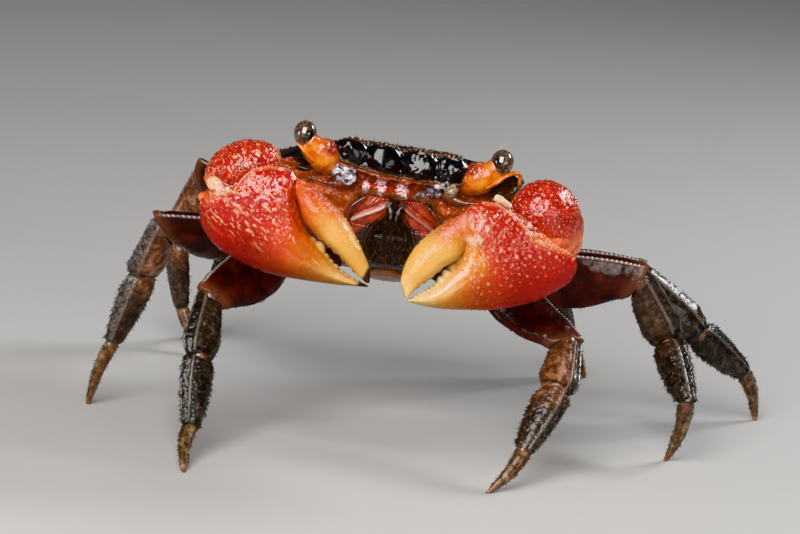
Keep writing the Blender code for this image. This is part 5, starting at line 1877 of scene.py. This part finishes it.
def arm(side_name):
    side = SIDES[side_name]
    root, knee = on_body(mirrored(ARM_ROOT, side)), on_body(mirrored(ARM_KNEE, side))
    end = placed(WRIST_CENTRE[side_name])
    lines = unit(knee - root), unit(end - knee)
    flex = unit(np.cross(lines[1], (0, 0, -1.0)))
    bend = unit(lines[0] + lines[1])
    first, last = np.full(20, ARM_BREADTH[0]), profile(ARM_BREADTH, np.linspace(0, 1, 90))
    base, _, _ = run(root, knee, flex, (lines[0], bend), first, np.full(20, ARM_THICKNESS[0]), 20, 96)
    thick = profile(ARM_THICKNESS, np.linspace(0, 1, 90))
    rest, _, _ = run(knee, end, flex, (bend, lines[1]), last, thick, 90, 96)
    world = np.concatenate((base[:-1], rest))
    world = raised(world, 0.08 * rough(world, 1.2, 101))
    flat = world.reshape(-1, 3)
    chosen = scatter(flat, np.full(len(flat), 0.4), 0.8, 3000)
    bead = beads(world, flat[chosen], RNG.uniform(0.15, 0.24, len(chosen)))
    world = with_cap(raised(world, 0.09 * bead), 1.0, True)
    piece = plate(f"claw_{side_name}_arm_shell", world, {"bead": stretched(bead, CAP_ROWS, 0)})
    finished(piece, ARM, "claw_arm", f"claw_{side_name}_merus")


# Stage


FLOOR_SIZE = 12.0
FLOOR_GREYS = ((0.0, (0.50, 0.49, 0.475)), (1.0, (0.55, 0.54, 0.525)))
SKY_COLOUR = (0.80, 0.83, 0.88)
SKY_STRENGTH = 0.18
LIGHT_TARGET = (0, 0, 24)
WARM_WHITE = (1.0, 0.98, 0.96)
COOL_WHITE = (0.95, 0.97, 1.0)
# Each light's name, place, width and height, watts and colour
LIGHTS = (
    ("key_light", (-90, -350, 300), (300, 380), 2.7, WARM_WHITE),
    ("side_light", (-415, -205, 70), (150, 200), 0.4, WARM_WHITE),
    ("rim_light", (300, 160, 260), (160, 90), 0.9, COOL_WHITE),
    ("fill_light", (260, -360, 120), (220, 160), 0.28, WARM_WHITE),
)


def studio():
    bpy.ops.mesh.primitive_plane_add(size=FLOOR_SIZE)
    floor = bpy.context.object
    floor.name = "studio_floor"
    finish = Finish("Pale studio floor", 0.7, 0.0)
    finish.colour(finish.ramp(finish.mottle(40.0, 0.6), FLOOR_GREYS))
    floor.data.materials.append(finish.material)
    world = bpy.data.worlds.new("Studio")
    bpy.context.scene.world = world
    world.use_nodes = True
    world.node_tree.nodes["Background"].inputs["Color"].default_value = (*SKY_COLOUR, 1)
    world.node_tree.nodes["Background"].inputs["Strength"].default_value = SKY_STRENGTH


def lamp(name, place, size, power, colour):
    data = bpy.data.lights.new(name, "AREA")
    data.shape = "RECTANGLE"
    data.size, data.size_y = size[0] * MM, size[1] * MM
    data.energy = power
    data.color = colour
    made = bpy.data.objects.new(name, data)
    made.location = Vector(place) * MM
    made.rotation_euler = (Vector(LIGHT_TARGET) - Vector(place)).to_track_quat("-Z", "Y").to_euler()
    bpy.context.collection.objects.link(made)


def lights():
    for light in LIGHTS:
        lamp(*light)
    bpy.context.scene.view_settings.view_transform = "Khronos PBR Neutral"


# Camera, set from the photo: height of its view, roll, distance and scale
CAMERA_ELEVATION = 13.0
CAMERA_ROLL = 5.5
CAMERA_DISTANCE = 390.0
CAMERA_TARGET = (0.0, 0.0, 20.0)
PHOTO_WIDTH = 800
PIXELS_PER_MM = 7.6
SENSOR = 36.0


def camera():
    e, r = radians(CAMERA_ELEVATION), radians(CAMERA_ROLL)
    forward = np.array((0, cos(e), -sin(e)))
    right, up = np.array((1.0, 0, 0)), np.array((0, sin(e), cos(e)))
    across = right * cos(r) + up * sin(r)
    above = up * cos(r) - right * sin(r)
    place = placed(CAMERA_TARGET) - forward * CAMERA_DISTANCE
    data = bpy.data.cameras.new("camera")
    data.sensor_width = SENSOR
    data.lens = PIXELS_PER_MM * CAMERA_DISTANCE * SENSOR / PHOTO_WIDTH
    data.clip_start = 0.01
    made = bpy.data.objects.new("camera", data)
    axes = Matrix(np.stack((across, above, -forward), axis=1).tolist())
    made.matrix_world = Matrix.Translation(Vector(place * MM)) @ axes.to_4x4()
    bpy.context.collection.objects.link(made)
    bpy.context.scene.camera = made


BRISTLE = plain_finish("Dark bristle", (0.012, 0.008, 0.006), (0.05, 0.03, 0.02), 2.0, 0.4, 0.2, 0.0)
PALE_HAIR = plain_finish("Pale bristle", (0.5, 0.42, 0.3), (0.75, 0.7, 0.6), 2.0, 0.4, 0.2, 0.0)
BROWN_HAIR = plain_finish("Brown bristle", (0.16, 0.045, 0.015), (0.48, 0.17, 0.06), 1.2, 0.4, 0.2, 0.0)
STUB = plain_finish("Wet ivory stub", (0.10, 0.05, 0.03), (0.62, 0.48, 0.34), 0.5, 0.25, 0.8)
PAINTED_REFLECTION_LUMP = painted_reflection_finish()
BRANCH = plain_finish("Wet red-brown branch", (0.05, 0.010, 0.006), (0.24, 0.045, 0.018), 0.8, 0.25, 0.6)
SOFT_SKINS = {
    "pearl": plain_finish("Wet pearl knuckle", (0.66, 0.24, 0.08), (0.90, 0.68, 0.44), 0.8, 0.2, 0.8),
    "petal": plain_finish("Cream rod", (0.66, 0.34, 0.20), (0.88, 0.76, 0.60), 0.7, 0.3, 0.6),
    "salmon": plain_finish("Wet salmon fold", (0.52, 0.05, 0.015), (0.76, 0.20, 0.07), 1.0, 0.25, 0.7),
}
MOUTH = mouth_finish()
PALP = plain_finish("Wet grey palp", (0.01, 0.006, 0.006), (0.20, 0.17, 0.175), 0.8, 0.15, 1.0)
EYE = eye_finish()
STALK = stalk_finish()
FEELER = plain_finish("Wet feeler", (0.06, 0.016, 0.008), (0.26, 0.07, 0.03), 0.8, 0.25, 0.7)
JOINT_SKIN = plain_finish("Wet joint skin", (0.06, 0.025, 0.015), (0.22, 0.09, 0.05), 0.8, 0.3, 0.6)
HAND = hand_finish()
FINGER = finger_finish()
WRIST = wrist_finish()
ARM = arm_finish()
LEG_FINISHES = {
    "merus": leg_finish("Wet maroon leg shell", (0.010, 0.0015, 0.001), (0.034, 0.003, 0.0015),
                        (0.085, 0.010, 0.004), (0.74, 0.64, 0.60), 0.5, 0.02, 2.6, 0.12),
    "carpus": leg_finish("Rough brown leg shell", (0.006, 0.005, 0.004), (0.022, 0.015, 0.010),
                         (0.080, 0.060, 0.044), (0.40, 0.32, 0.26)),
    "propodus": leg_finish("Rough black leg shell", (0.005, 0.0045, 0.004), (0.017, 0.013, 0.010),
                           (0.070, 0.056, 0.044), (0.36, 0.30, 0.25)),
    "dactylus": leg_finish("Wet brown leg tip", (0.028, 0.014, 0.008), (0.085, 0.045, 0.022),
                           (0.30, 0.20, 0.10), (0.34, 0.22, 0.12)),
}

camera()
studio()
lights()
carapace()
sternum()
abdomen()
for side_name in SIDES:
    mouth_plate(side_name)
    eye(side_name)
    eyestalk(side_name)
    feeler(side_name)
    hand(side_name)
    finger(side_name)
    wrist(side_name)
    arm(side_name)
    for pair in range(len(HIPS)):
        leg(side_name, pair)
